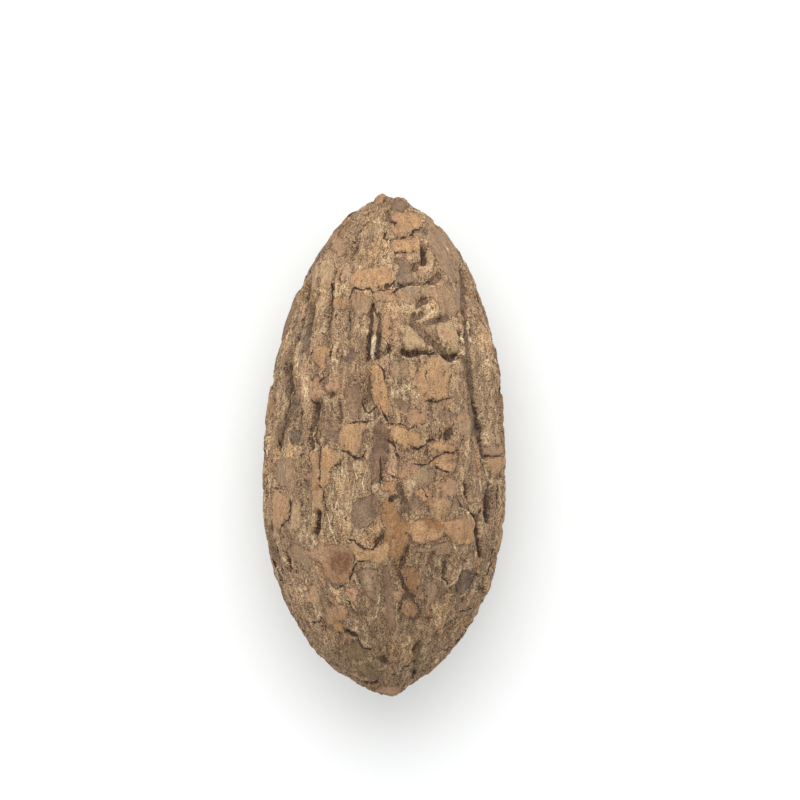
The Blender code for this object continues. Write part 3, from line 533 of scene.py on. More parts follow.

# Soft lengthwise bands of painted shade down the grooves, partly the grooves' darker skin, and paler bands along
# ridges and a fibre: how much darker, or lighter if negative, half width and route in pixels
PAINTED_SHADING_BANDS = [
    (0.35, 4, [(309, 284), (306, 297), (311, 310)]),
    (0.40, 4, [(311, 306), (308, 325), (304, 342), (302, 350)]),
    (0.18, 5, [(297, 318), (294, 338), (290, 356), (287, 368)]),
    (0.42, 6, [(286, 366), (290, 384), (291, 400), (287, 414), (281, 426), (277, 445)]),
    (0.38, 5, [(293, 404), (296, 420), (295, 442)]),
    (0.50, 5, [(316, 399), (317, 415), (314, 430), (313, 446)]),
    (0.25, 3, [(330, 285), (328, 308), (326, 322), (329, 347), (328, 367), (321, 379), (313, 399)]),
    (0.22, 4, [(346, 300), (349, 322), (347, 345)]),
    (0.28, 5, [(464, 274), (466, 288), (465, 301), (468, 318), (471, 334), (469, 351), (467, 361)]),
    (0.42, 5, [(469, 361), (471, 381), (472, 398), (475, 416), (478, 432)]),
    (0.35, 3, [(476, 420), (478, 430), (480, 440)]),
    (0.35, 4, [(481, 440), (484, 456), (486, 470)]),
    (0.35, 4, [(489, 486), (489, 500), (488, 520)]),
    (0.25, 3, [(476, 519), (479, 533), (482, 546), (485, 557)]),
    (0.40, 4, [(268, 528), (271, 545), (275, 560)]),
    (0.35, 4, [(419, 646), (417, 660), (414, 676)]),
    (0.42, 5, [(457, 590), (463, 582), (470, 574)]),
    (0.25, 5, [(368, 378), (366, 395), (364, 408)]),
    (0.30, 4, [(400, 487), (404, 500), (407, 512)]),
    (0.20, 6, [(298, 466), (301, 490), (302, 515)]),
    (0.22, 5, [(322, 600), (332, 612), (346, 630)]),
    (0.28, 4, [(433, 341), (441, 347), (448, 353)]),
    (0.28, 3, [(428, 322), (436, 318), (449, 315)]),
    (-0.50, 2, [(312, 427), (311, 434), (314, 444), (316, 452)]),
    (-0.22, 4, [(289, 302), (286, 330), (281, 352)]),
    (-0.22, 3, [(477, 300), (481, 325), (484, 350)]),
    (-0.18, 4, [(272, 400), (270, 440), (269, 480)]),
    (-0.18, 4, [(300, 372), (304, 392), (303, 410)]),
    (-0.15, 4, [(488, 350), (492, 380), (494, 410)]),
]

# Bumps and notches of the outline: rise, radius, and the place as a pixel of the photograph
OUTLINE_BUMPS = [
    (0.36, 0.6, (382, 191)),
    (-0.30, 0.6, (388, 198)),
    (0.35, 1.0, (402, 196)),
    (0.30, 1.2, (347, 215)),
    (0.30, 1.2, (333, 231)),
    (0.30, 1.0, (291, 297)),
    (0.35, 1.3, (284, 318)),
    (-0.25, 0.9, (271, 378)),
    (0.30, 1.4, (472, 272)),
    (0.25, 1.2, (498, 378)),
    (-0.20, 0.8, (503, 480)),
    (0.35, 1.3, (491, 588)),
    (-0.30, 1.0, (484, 600)),
    (-0.25, 1.0, (325, 657)),
    (0.25, 1.2, (318, 652)),
    (0.40, 1.1, (390, 694)),
    (0.25, 0.8, (398, 692)),
    (-0.35, 1.6, (337, 672)),
    (-0.55, 1.2, (354, 685)),
    (-0.45, 0.8, (367, 689)),
    (-0.35, 1.1, (416, 683)),
    (-0.40, 1.6, (436, 668)),
]

# Marks of the sides and the underside, which the camera above does not see
HIDDEN_SEED = 41
HIDDEN_PLATES = 110
HIDDEN_GROOVES = 55
HIDDEN_CRACKS = 150
HIDDEN_FIBRES = 110
HIDDEN_FROM = math.radians(74)
HIDDEN_ALONG = 22.0
HIDDEN_COLOURS = [TAN, TAN, TAN_BROWN, TAN_BROWN, STRAW, PINK, RED_BROWN, PURPLE, SLATE, GREY_TAUPE, OLIVE_GREY]

# Broad lumps and lengthwise folds, as the solid has them
LUMP_HEIGHT = 0.30
LUMPS_ROUND = 2.0
LUMP_STRETCH = 0.16
FOLD_HEIGHT = 0.42
FOLDS_ROUND = 3.4
FOLD_STRETCH = 0.055
FOLD_CALM_SHARE = 0.60
FOLD_FULL_TURN = math.radians(42)
RIDGE_HEIGHT = 0.22
RIDGES_ROUND = 6.5
RIDGE_STRETCH = 0.12
END_CALM_SHARE = 0.55

# Finer relief of the ground between plates: how many a millimetre round and along, and height
FIBRE_LAYERS = [(0.55, 0.10, 0.20), (1.10, 0.16, 0.15), (2.10, 0.30, 0.09)]
GRAIN_LAYERS = [(0.9, 0.14), (1.9, 0.08)]
PLATE_QUIET = 0.35


def smooth_step(low, high, value):
    """A smooth rise from 0 at low to 1 at high."""
    share = np.clip((value - low) / (high - low), 0.0, 1.0)
    return share * share * (3.0 - 2.0 * share)


def linear(colour):
    """A colour as the eye sees it, as light for the shader."""
    share = np.array(colour, float) / 255.0
    return SKIN_SHARE * np.where(share <= 0.04045, share / 12.92, ((share + 0.055) / 1.055) ** 2.4)


def half_width(along, right):
    """Half the body's width seen from above. It narrows faster than an ellipse near both ends."""
    tip_side = along > WIDEST_AT
    reach = np.where(tip_side, TIP_END - WIDEST_AT, WIDEST_AT - BASE_END)
    tip_power = np.where(right, TIP_POWER_RIGHT, TIP_POWER_LEFT)
    tip_rounding = np.where(right, TIP_ROUNDING_RIGHT, TIP_ROUNDING_LEFT)
    power = np.where(tip_side, tip_power, BASE_POWER)
    rounding = np.where(tip_side, tip_rounding, BASE_ROUNDING)
    share = np.clip(np.abs(along - WIDEST_AT) / reach, 0.0, 1.0)
    return HALF_WIDTH * (1.0 - share**power) ** rounding


def mean_half_width(along):
    """The mean of the body's two half widths."""
    return 0.5 * (half_width(along, True) + half_width(along, False))


def body_points(along, turn):
    """Points of the smooth body as an array of rows (x, y, z)."""
    wide = half_width(along, np.sin(turn) > 0.0)
    high = mean_half_width(along) * HALF_HEIGHT / HALF_WIDTH
    return np.stack([wide * np.sin(turn), along, high * np.cos(turn)], axis=-1)


def body_normals(along, turn):
    """Outward directions of the smooth body, from its slopes along and round it."""
    step = 1e-3
    lengthwise = body_points(along + step, turn) - body_points(along - step, turn)
    across = body_points(along, turn + step) - body_points(along, turn - step)
    normals = np.cross(across, lengthwise)
    size = np.linalg.norm(normals, axis=1, keepdims=True)
    ends = np.stack([np.zeros(len(along)), np.sign(along), np.zeros(len(along))], axis=1)
    return np.where(size > step**3, normals / np.maximum(size, step**4), ends)


def even_rings():
    """Places along the seed that lie evenly along its outline, from tip to base."""
    sweep = np.linspace(0.0, math.pi, 4001)
    places = 0.5 * (TIP_END + BASE_END) + 0.5 * (TIP_END - BASE_END) * np.cos(sweep)
    steps = np.hypot(np.diff(places), np.diff(mean_half_width(places)))
    travelled = np.concatenate([[0.0], np.cumsum(steps)])
    return travelled / travelled[-1], places


def tip_over(points):
    """The seed's lie: its narrow end a little lower."""
    turned = Matrix.Rotation(-NOSE_DOWN, 3, "X")
    return points @ np.array(turned).T


def to_photo(points):
    """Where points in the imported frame, in millimetres, fall in the photograph."""
    depth = EYE[2] - points[:, 2]
    right = PHOTO_SIZE / 2 + (points[:, 0] - EYE[0]) * FOCAL_PIXELS / depth
    down = PHOTO_SIZE / 2 - (points[:, 1] - EYE[1]) * FOCAL_PIXELS / depth
    return np.stack([right, down], axis=1)


class Skin:
    """The fine mesh's points on the smooth body, and the marks gathered for each of them."""

    def __init__(self, ball):
        self.ring_share = np.arccos(np.clip(ball[:, 1], -1.0, 1.0)) / math.pi
        self.along = np.interp(self.ring_share, *even_rings())
        self.turn = np.arctan2(ball[:, 0], ball[:, 2])
        self.points = body_points(self.along, self.turn)
        inner = np.clip(self.along, BASE_END + 0.01, TIP_END - 0.01)
        self.normals = body_normals(inner, self.turn)
        count = len(ball)
        self.see(stand_in_box(tip_over(self.points)))
        self.wobble = wobble(self.points)
        self.raised = np.zeros(count)
        self.sunk = np.zeros(count)
        self.hollow = np.full(count, -1.0)
        self.hollow_depth = np.zeros(count)
        self.bumps = np.zeros(count)
        self.patch = np.full(count, -1.0)
        self.patch_colour = np.tile(linear(TAN), (count, 1))
        self.ground = np.tile(linear(TAUPE), (count, 1))
        self.tone = np.ones(count)
        self.line_side = {"crack": np.full(count, 9.0), "fibre": np.full(count, 9.0)}
        self.line_gap = {"crack": np.full(count, 9.0), "fibre": np.full(count, 9.0)}
        self.line_width = {"crack": np.zeros(count), "fibre": np.zeros(count)}

    def see(self, placed):
        """Notes where the points fall in the photograph once they are placed; the underside does not."""
        self.seen = to_photo(placed)
        self.seen[self.points[:, 2] < 0.0] = -PHOTO_SIZE

    def below_pixel(self, pixel):
        """The point of the body below a pixel of the photograph."""
        apart = np.asarray(pixel) - self.seen
        nearest = np.argmin(np.hypot(apart[:, 0], apart[:, 1]))
        right, down = apart[nearest] * PIXEL
        normal = self.normals[nearest]
        if normal[2] < 0.3:
            return self.points[nearest]
        rise = (normal[1] * down - normal[0] * right) / normal[2]
        return self.points[nearest] + np.array([right, -down, rise])

    def below_pixels(self, pixels):
        """The points of the body below several pixels of the photograph."""
        return np.array([self.below_pixel(pixel) for pixel in pixels])

    def near(self, route, reach):
        """The numbers of the points within reach of a route's box."""
        low, high = route.min(axis=0) - reach, route.max(axis=0) + reach
        return np.flatnonzero(np.all((self.points > low) & (self.points < high), axis=1))


def layered_noise(points, scale):
    """A smooth random value from -1 to 1 for each point."""
    return np.array([noise.noise(Vector(point)) for point in points * scale])


def wobble(points):
    """A small random shift of each point, which makes outlines and routes uneven."""
    broad = np.array([noise.noise_vector(Vector(point)) for point in points * 0.9])
    fine = np.array([noise.noise_vector(Vector(point)) for point in points * 2.7])
    return 0.16 * broad + 0.10 * fine


def flat_axes(route, normal):
    """Two directions in the plane that touches the skin at a route."""
    normal = normal / np.linalg.norm(normal)
    side = np.cross([0.0, 1.0, 0.0], normal)
    side = side / max(np.linalg.norm(side), 1e-6)
    return side, np.cross(normal, side)


def distance_inside(places, outline):
    """How far each flat place is inside a closed outline; outside is negative."""
    nearest = np.full(len(places), np.inf)
    inside = np.zeros(len(places), bool)
    for start, end in zip(outline, np.roll(outline, -1, axis=0)):
        run = end - start
        offset = places - start
        share = np.clip(offset @ run / max(run @ run, 1e-9), 0.0, 1.0)
        nearest = np.minimum(nearest, np.linalg.norm(offset - share[:, None] * run, axis=1))
        crosses = (start[1] > places[:, 1]) != (end[1] > places[:, 1])
        rise = end[1] - start[1] if abs(end[1] - start[1]) > 1e-9 else 1e-9
        meets = start[0] + (places[:, 1] - start[1]) * run[0] / rise
        inside ^= crosses & (places[:, 0] < meets)
    return np.where(inside, nearest, -nearest)


def add_plate(skin, outline, colour, rise):
    """A plate of smoother skin with a short steep edge."""
    centre = outline.mean(axis=0)
    numbers = skin.near(outline, 1.5)
    if len(numbers) == 0:
        return
    normal = skin.normals[np.argmin(np.linalg.norm(skin.points - centre, axis=1))]
    side, up = flat_axes(outline, normal)
    offset = skin.points[numbers] + skin.wobble[numbers] - centre
    places = np.stack([offset @ side, offset @ up], axis=1)
    corners = np.stack([(outline - centre) @ side, (outline - centre) @ up], axis=1)
    inside = distance_inside(places, corners)
    inside = np.where(skin.normals[numbers] @ normal > 0.72, inside, -1.0)
    top = rise * smooth_step(-0.16, 0.14, inside) + 0.25 * rise * smooth_step(0.1, 1.2, inside)
    skin.raised[numbers] = np.where(np.abs(top) > np.abs(skin.raised[numbers]), top, skin.raised[numbers])
    wins = inside > np.minimum(skin.patch[numbers], 0.05)
    kept = numbers[wins]
    skin.patch[kept] = np.maximum(skin.patch[kept], inside[wins])
    skin.patch_colour[kept] = linear(colour)


def route_distance(points, route):
    """Each point's distance to a route, and the signed distance to the side of its nearest stretch."""
    nearest = np.full(len(points), np.inf)
    beside = np.full(len(points), np.inf)
    for start, end in zip(route[:-1], route[1:]):
        run = end - start
        length = max(np.linalg.norm(run), 1e-6)
        offset = points - start
        share = np.clip(offset @ run / length**2, 0.0, 1.0)
        gap = offset - share[:, None] * run
        distance = np.linalg.norm(gap, axis=1)
        across = np.cross(run / length, start + end)
        side = np.sign(offset @ across) * distance
        closer = distance < nearest
        nearest = np.where(closer, distance, nearest)
        beside = np.where(closer, side, beside)
    return nearest, beside


def add_groove(skin, route, half, depth):
    """A groove or pit along a route, with steep walls and a nearly flat floor, whose floor the shader paints with
    shade.
    """
    numbers = skin.near(route, 3.0 * half + 0.8)
    distance, _ = route_distance(skin.points[numbers] + 0.7 * skin.wobble[numbers], route)
    sunk = depth * (1.0 - smooth_step(0.4 * half, 1.5 * half + 0.12, distance))
    skin.sunk[numbers] = np.maximum(skin.sunk[numbers], sunk)
    hollow = half - distance
    deeper = hollow > skin.hollow[numbers]
    kept = numbers[deeper]
    skin.hollow[kept] = hollow[deeper]
    skin.hollow_depth[kept] = depth


def add_furrow(skin, route, half, depth):
    """A broad shallow furrow along a route, without a floor of its own."""
    numbers = skin.near(route, 3.0 * half)
    distance, _ = route_distance(skin.points[numbers] + skin.wobble[numbers], route)
    sunk = depth * (1.0 - smooth_step(0.3 * half, 1.8 * half, distance))
    skin.sunk[numbers] = np.maximum(skin.sunk[numbers], sunk)


def add_line(skin, kind, route, half):
    """A thin crack or fibre, kept as a signed distance so that the shader draws it sharp."""
    numbers = skin.near(route, 1.2)
    distance, beside = route_distance(skin.points[numbers] + 0.5 * skin.wobble[numbers], route)
    closer = distance < skin.line_gap[kind][numbers]
    kept = numbers[closer]
    skin.line_gap[kind][kept] = distance[closer]
    skin.line_side[kind][kept] = beside[closer]
    skin.line_width[kind][kept] = half


def add_wash(skin, colour, strength, middle, radius):
    """A soft wash of colour over the ground."""
    centre = skin.below_pixel(middle)
    reach = radius * PIXEL
    distance = np.linalg.norm(skin.points + 4.0 * skin.wobble - centre, axis=1)
    share = (strength * np.exp(-((distance / reach) ** 2)))[:, None]
    skin.ground += share * (linear(colour) - skin.ground)


def add_painted_shading_patch(skin, share, middle, radius):
    """Painted light or shade: a broad lighter or darker patch over ground and plates."""
    distance = np.linalg.norm(skin.points - skin.below_pixel(middle), axis=1)
    skin.tone *= 1.0 + share * np.exp(-((distance / (radius * PIXEL)) ** 2))


def add_painted_shading_band(skin, share, half, pixels):
    """A soft band along a route in the photograph: painted shade down a groove, partly its darker skin, or paler
    along a ridge or fibre if the share is negative.
    """
    route = np.pad(np.array(pixels, float), ((0, 0), (0, 1)))
    places = np.pad(skin.seen + 0.8 * skin.wobble[:, :2] / PIXEL, ((0, 0), (0, 1)))
    distance, _ = route_distance(places, route)
    facing = smooth_step(0.02, 0.30, skin.normals[:, 2])
    skin.tone *= 1.0 - share * facing * (1.0 - smooth_step(0.3 * half, 1.5 * half, distance))


def add_outline_bump(skin, rise, radius, place):
    """A bump or notch that shows in the outline seen from above."""
    centre = skin.below_pixel(place)
    distance = np.linalg.norm(skin.points - centre, axis=1)
    skin.bumps += rise * np.exp(-((distance / radius) ** 2))


def add_seen_marks(skin):
    """Everything that the photograph shows on the skin."""
    for wash in WASHES:
        add_wash(skin, *wash)
    for tone in PAINTED_SHADING_PATCHES:
        add_painted_shading_patch(skin, *tone)
    for band in PAINTED_SHADING_BANDS:
        add_painted_shading_band(skin, *band)
    for colour, rise, pixels in PLATES.values():
        add_plate(skin, skin.below_pixels(pixels), colour, rise)
    for half, depth, pixels in GROOVES.values():
        add_groove(skin, skin.below_pixels(pixels), half, depth)
    for half, pixels in CRACKS:
        add_line(skin, "crack", skin.below_pixels(pixels), half)
    for half, pixels in FIBRES:
        add_line(skin, "fibre", skin.below_pixels(pixels), half)
    for half, depth, pixels in FURROWS:
        add_furrow(skin, skin.below_pixels(pixels), half, depth)


def hidden_place(draw):
    """A place drawn from the sides and the underside."""
    along = draw.uniform(-HIDDEN_ALONG, HIDDEN_ALONG)
    return along, draw.uniform(HIDDEN_FROM, 2.0 * math.pi - HIDDEN_FROM)


def lengthwise_route(draw, along, turn, length, sway):
    """A slightly swaying route that runs along the seed."""
    stops = np.linspace(0.0, length, max(3, int(length / 1.2)))
    places = np.clip(along + stops, BASE_END + 0.6, TIP_END - 0.6)
    sways = np.cumsum([draw.uniform(-sway, sway) for _ in stops])
    radius = np.maximum(mean_half_width(places), 1.5)
    return body_points(places, turn + sways / radius)


def add_hidden_marks(skin):
    """Marks of the same kinds where the camera above does not see, drawn by a rule."""
    draw = random.Random(HIDDEN_SEED)
    for _ in range(HIDDEN_PLATES):
        along, turn = hidden_place(draw)
        size, stretch = draw.uniform(0.5, 1.7), draw.uniform(1.0, 1.9)
        corners = draw.randint(6, 9)
        angles = [2.0 * math.pi * (corner + draw.uniform(-0.3, 0.3)) / corners for corner in range(corners)]
        reaches = [size * draw.uniform(0.7, 1.25) for _ in angles]
        places = np.array([along + stretch * reach * math.sin(a) for reach, a in zip(reaches, angles)])
        places = np.clip(places, BASE_END + 0.3, TIP_END - 0.3)
        radius = np.maximum(mean_half_width(places), 2.0)
        turns = turn + np.array([reach * math.cos(a) for reach, a in zip(reaches, angles)]) / radius
        add_plate(skin, body_points(places, turns), draw.choice(HIDDEN_COLOURS), draw.uniform(0.08, 0.30))
    for _ in range(HIDDEN_GROOVES):
        along, turn = hidden_place(draw)
        route = lengthwise_route(draw, along, turn, draw.uniform(0.4, 9.0), 0.25)
        add_groove(skin, route, draw.uniform(0.10, 0.28), draw.uniform(0.25, 0.65))
    for _ in range(HIDDEN_CRACKS):
        along, turn = hidden_place(draw)
        route = lengthwise_route(draw, along, turn, draw.uniform(0.8, 4.5), 0.45)
        add_line(skin, "crack", route, draw.uniform(0.05, 0.11))
    for _ in range(HIDDEN_FIBRES):
        along, turn = hidden_place(draw)
        route = lengthwise_route(draw, along, turn, draw.uniform(1.5, 5.0), 0.2)
        add_line(skin, "fibre", route, draw.uniform(0.05, 0.10))


def folds(skin):
    """Broad lumps, lengthwise folds and sharper ridges, strongest down both sides."""
    rise = smooth_step(0.0, FOLD_FULL_TURN, np.abs(skin.turn))
    strength = FOLD_CALM_SHARE + (1.0 - FOLD_CALM_SHARE) * rise
    away_from_ends = smooth_step(0.0, END_CALM_SHARE, mean_half_width(skin.along) / HALF_WIDTH)
    height = np.zeros(len(skin.along))
    for index, (place, angle) in enumerate(zip(skin.along, skin.turn)):
        round_x, round_z = math.sin(angle), math.cos(angle)
        lump_at = Vector((LUMPS_ROUND * round_x, LUMP_STRETCH * place, LUMPS_ROUND * round_z))
        fold_at = Vector((FOLDS_ROUND * round_x, FOLD_STRETCH * place, FOLDS_ROUND * round_z))
        ridge_at = Vector((RIDGES_ROUND * round_x, RIDGE_STRETCH * place, RIDGES_ROUND * round_z))
        lengthwise = FOLD_HEIGHT * noise.noise(fold_at) + RIDGE_HEIGHT * abs(noise.noise(ridge_at))
        height[index] = LUMP_HEIGHT * noise.noise(lump_at) + strength[index] * lengthwise
    return height * away_from_ends


def grain_places(skin):
    """Coordinates that follow the fibres: the radius shrinks less than the seed does near its ends."""
    share = np.maximum(mean_half_width(skin.along), 0.3) / HALF_WIDTH
    radius = HALF_WIDTH * share**0.6
    return np.stack([radius * np.sin(skin.turn), skin.along, radius * np.cos(skin.turn)], axis=1)


def ground_relief(skin, grain):
    """Fibres and grains of the ground, quieter on the plates."""
    relief = np.zeros(len(grain))
    for across, lengthwise, height in FIBRE_LAYERS:
        scaled = grain * np.array([across, lengthwise, across]) * 2.0
        relief -= height * np.abs(layered_noise(scaled + 3.0 * skin.wobble, 1.0)) * 2.0
        relief += height * 0.5
    for scale, height in GRAIN_LAYERS:
        relief += height * layered_noise(skin.points, scale)
    on_plate = smooth_step(-0.1, 0.2, skin.patch)
    return relief * (1.0 - (1.0 - PLATE_QUIET) * on_plate)


def calm_share(skin):
    """0 round the flat spot, where the skin stays smooth, and 1 away from it."""
    below = np.abs(np.abs(skin.turn) - math.pi) * HALF_WIDTH / CALM_HALF_ACROSS
    return smooth_step(0.6, 1.2, np.hypot(below, np.abs(skin.along) / CALM_HALF_ALONG))


def fit_outline(points, skin):
    """Brings the relief's outline back to the body's, leaving the short bumps of a few rings."""
    fitted = points.copy()
    ring = np.rint(skin.ring_share * RINGS).astype(int)
    for right in (True, False):
        side = 1.0 if right else -1.0
        reach = np.full(RINGS + 1, 0.1)
        np.maximum.at(reach, ring, side * points[:, 0])
        place = np.zeros(RINGS + 1)
        place[ring] = skin.along
        share = np.maximum(half_width(place, right), 0.1) / reach
        padded = np.pad(share[OUTLINE_RINGS:-OUTLINE_RINGS], 2 * OUTLINE_RINGS, mode="edge")
        window = 2 * OUTLINE_RINGS + 1
        share = np.convolve(padded, np.ones(window) / window, mode="valid")
        on_side = side * points[:, 0] > 0.0
        fitted[on_side, 0] *= share[ring[on_side]]
        reach = half_width(skin.along, right)
        over = np.maximum(side * fitted[:, 0] - reach, 0.0)
        fitted[:, 0] -= side * (1.0 - OUTLINE_BUMP_SHARE) * over
    return fitted


def stand_in_box(points):
    """Flattens the lowest skin, then fits the seed to the solid's box."""
    floor = points[:, 2].min() + FLAT_DEPTH
    points[:, 2] = np.maximum(points[:, 2], floor)
    low, high = points.min(axis=0), points.max(axis=0)
    return LOW + (points - low) * (HIGH - LOW) / (high - low)


def place(skin, height):
    """The body with a relief of the given height, laid down in the solid's box."""
    moved = skin.points + skin.normals * (calm_share(skin) * height)[:, None]
    return stand_in_box(tip_over(fit_outline(moved, skin)))


def ball_mesh():
    """An even ball of quads with its poles along Y."""
    ball = bmesh.new()
    poles_along_y = Matrix.Rotation(math.radians(-90.0), 4, "X")
    bmesh.ops.create_uvsphere(
        ball, u_segments=ROUND_STEPS, v_segments=RINGS, radius=1.0, matrix=poles_along_y
    )
    mesh = bpy.data.meshes.new("seed_skin")
    ball.to_mesh(mesh)
    ball.free()
    return mesh


def set_values(mesh, name, values):
    """Stores a number for each point of the mesh."""
    layer = mesh.attributes.new(name, "FLOAT", "POINT")
    layer.data.foreach_set("value", np.asarray(values, np.float32))


def set_vectors(mesh, name, values):
    """Stores a vector for each point of the mesh."""
    layer = mesh.attributes.new(name, "FLOAT_VECTOR", "POINT")
    layer.data.foreach_set("vector", np.asarray(values, np.float32).ravel())


def build_seed():
    """The seed's skin as one closed fine mesh with its marks stored on it."""
    mesh = ball_mesh()
    ball = np.empty(len(mesh.vertices) * 3, np.float32)
    mesh.vertices.foreach_get("co", ball)
    skin = Skin(ball.reshape(-1, 3).astype(float))
    for bump in OUTLINE_BUMPS:
        add_outline_bump(skin, *bump)
    broad = folds(skin) + skin.bumps
    skin.see(place(skin, broad))
    add_seen_marks(skin)
    add_hidden_marks(skin)
    grain = grain_places(skin)
    placed = place(skin, broad + skin.raised - skin.sunk + ground_relief(skin, grain))
    mesh.vertices.foreach_set("co", (placed * MM).astype(np.float32).ravel())
    set_values(mesh, "patch", np.clip(skin.patch, -1.0, 1.0))
    set_values(mesh, "tone", skin.tone ** np.where(skin.patch > 0.0, PLATE_PAINTED_SHADING, 1.0))
    set_values(mesh, "hollow", skin.hollow)
    set_values(mesh, "hollow_depth", skin.hollow_depth)
    for kind in ("crack", "fibre"):
        set_values(mesh, kind + "_side", np.clip(skin.line_side[kind], -1.0, 1.0))
        faded = skin.line_width[kind] * (1.0 - smooth_step(0.35, 0.7, skin.line_gap[kind]))
        set_values(mesh, kind + "_width", faded)
    set_vectors(mesh, "patch_colour", skin.patch_colour)
    set_vectors(mesh, "ground", skin.ground)
    set_vectors(mesh, "grain", grain)
    mesh.update()
    mesh.shade_smooth()
    seed = bpy.data.objects.new("seed_skin", mesh)
    bpy.context.scene.collection.objects.link(seed)
    return seed


class Graph:
    """Short calls for making and joining shader nodes."""

    def __init__(self, material):
        self.tree = material.node_tree

    def add(self, kind, inputs=None, **settings):
        node = self.tree.nodes.new(kind)
        for name, value in settings.items():
            setattr(node, name, value)
        for name, value in (inputs or {}).items():
            self.feed(node.inputs[name], value)
        return node

    def feed(self, socket, value):
        if isinstance(value, bpy.types.NodeSocket):
            self.tree.links.new(value, socket)
        else:
            socket.default_value = value

    def attribute(self, name, kind="Fac"):
        return self.add("ShaderNodeAttribute", attribute_name=name).outputs[kind]

    def math(self, operation, first, second=0.0, third=0.0, clamp=False):
        inputs = {0: first, 1: second, 2: third}
        return self.add("ShaderNodeMath", inputs, operation=operation, use_clamp=clamp).outputs[0]

    def rise(self, value, low, high, to_low=0.0, to_high=1.0):
        inputs = {"Value": value, "From Min": low, "From Max": high, "To Min": to_low, "To Max": to_high}
        return self.add("ShaderNodeMapRange", inputs, interpolation_type="SMOOTHSTEP").outputs[0]

    def mix(self, share, first, second, blend="MIX"):
        node = self.add("ShaderNodeMix", data_type="RGBA", blend_type=blend)
        self.feed(node.inputs[0], share)
        self.feed(node.inputs[6], first)
        self.feed(node.inputs[7], second)
        return node.outputs[2]

    def stretched(self, vector, across, lengthwise):
        node = self.add("ShaderNodeVectorMath", operation="MULTIPLY")
        self.feed(node.inputs[0], vector)
        self.feed(node.inputs[1], (across, lengthwise, across))
        return node.outputs[0]

    def shifted(self, vector, by, amount):
        node = self.add("ShaderNodeVectorMath", operation="MULTIPLY_ADD")
        self.feed(node.inputs[0], by)
        self.feed(node.inputs[1], (amount, amount, amount))
        self.feed(node.inputs[2], vector)
        return node.outputs[0]

    def noise(self, vector, scale, detail=2.0, roughness=0.5, output="Fac"):
        inputs = {"Vector": vector, "Scale": scale, "Detail": detail, "Roughness": roughness}
        return self.add("ShaderNodeTexNoise", inputs).outputs[output]

    def net(self, vector, scale):
        inputs = {"Vector": vector, "Scale": scale}
        return self.add("ShaderNodeTexVoronoi", inputs, feature="DISTANCE_TO_EDGE").outputs["Distance"]


def colour4(colour):
    """A colour for a shader socket."""
    return (*linear(colour), 1.0)


def thin_line(graph, kind, jitter):
    """How strongly a thin crack or fibre shows: its half width is compared with the distance beside it."""
    side = graph.math("ABSOLUTE", graph.math("ADD", graph.attribute(kind + "_side"), jitter))
    swell = graph.rise(graph.noise(graph.attribute("grain", "Vector"), 1.5, 2.0), 0.36, 0.62, 0.30, 1.25)
    width = graph.math("MULTIPLY", graph.attribute(kind + "_width"), swell)
    share = graph.math("DIVIDE", side, graph.math("MAXIMUM", width, 0.001))
    edge = graph.rise(share, 0.7, 1.5, 1.0, 0.0)
    return graph.math("MULTIPLY", edge, graph.rise(width, 0.01, 0.04))


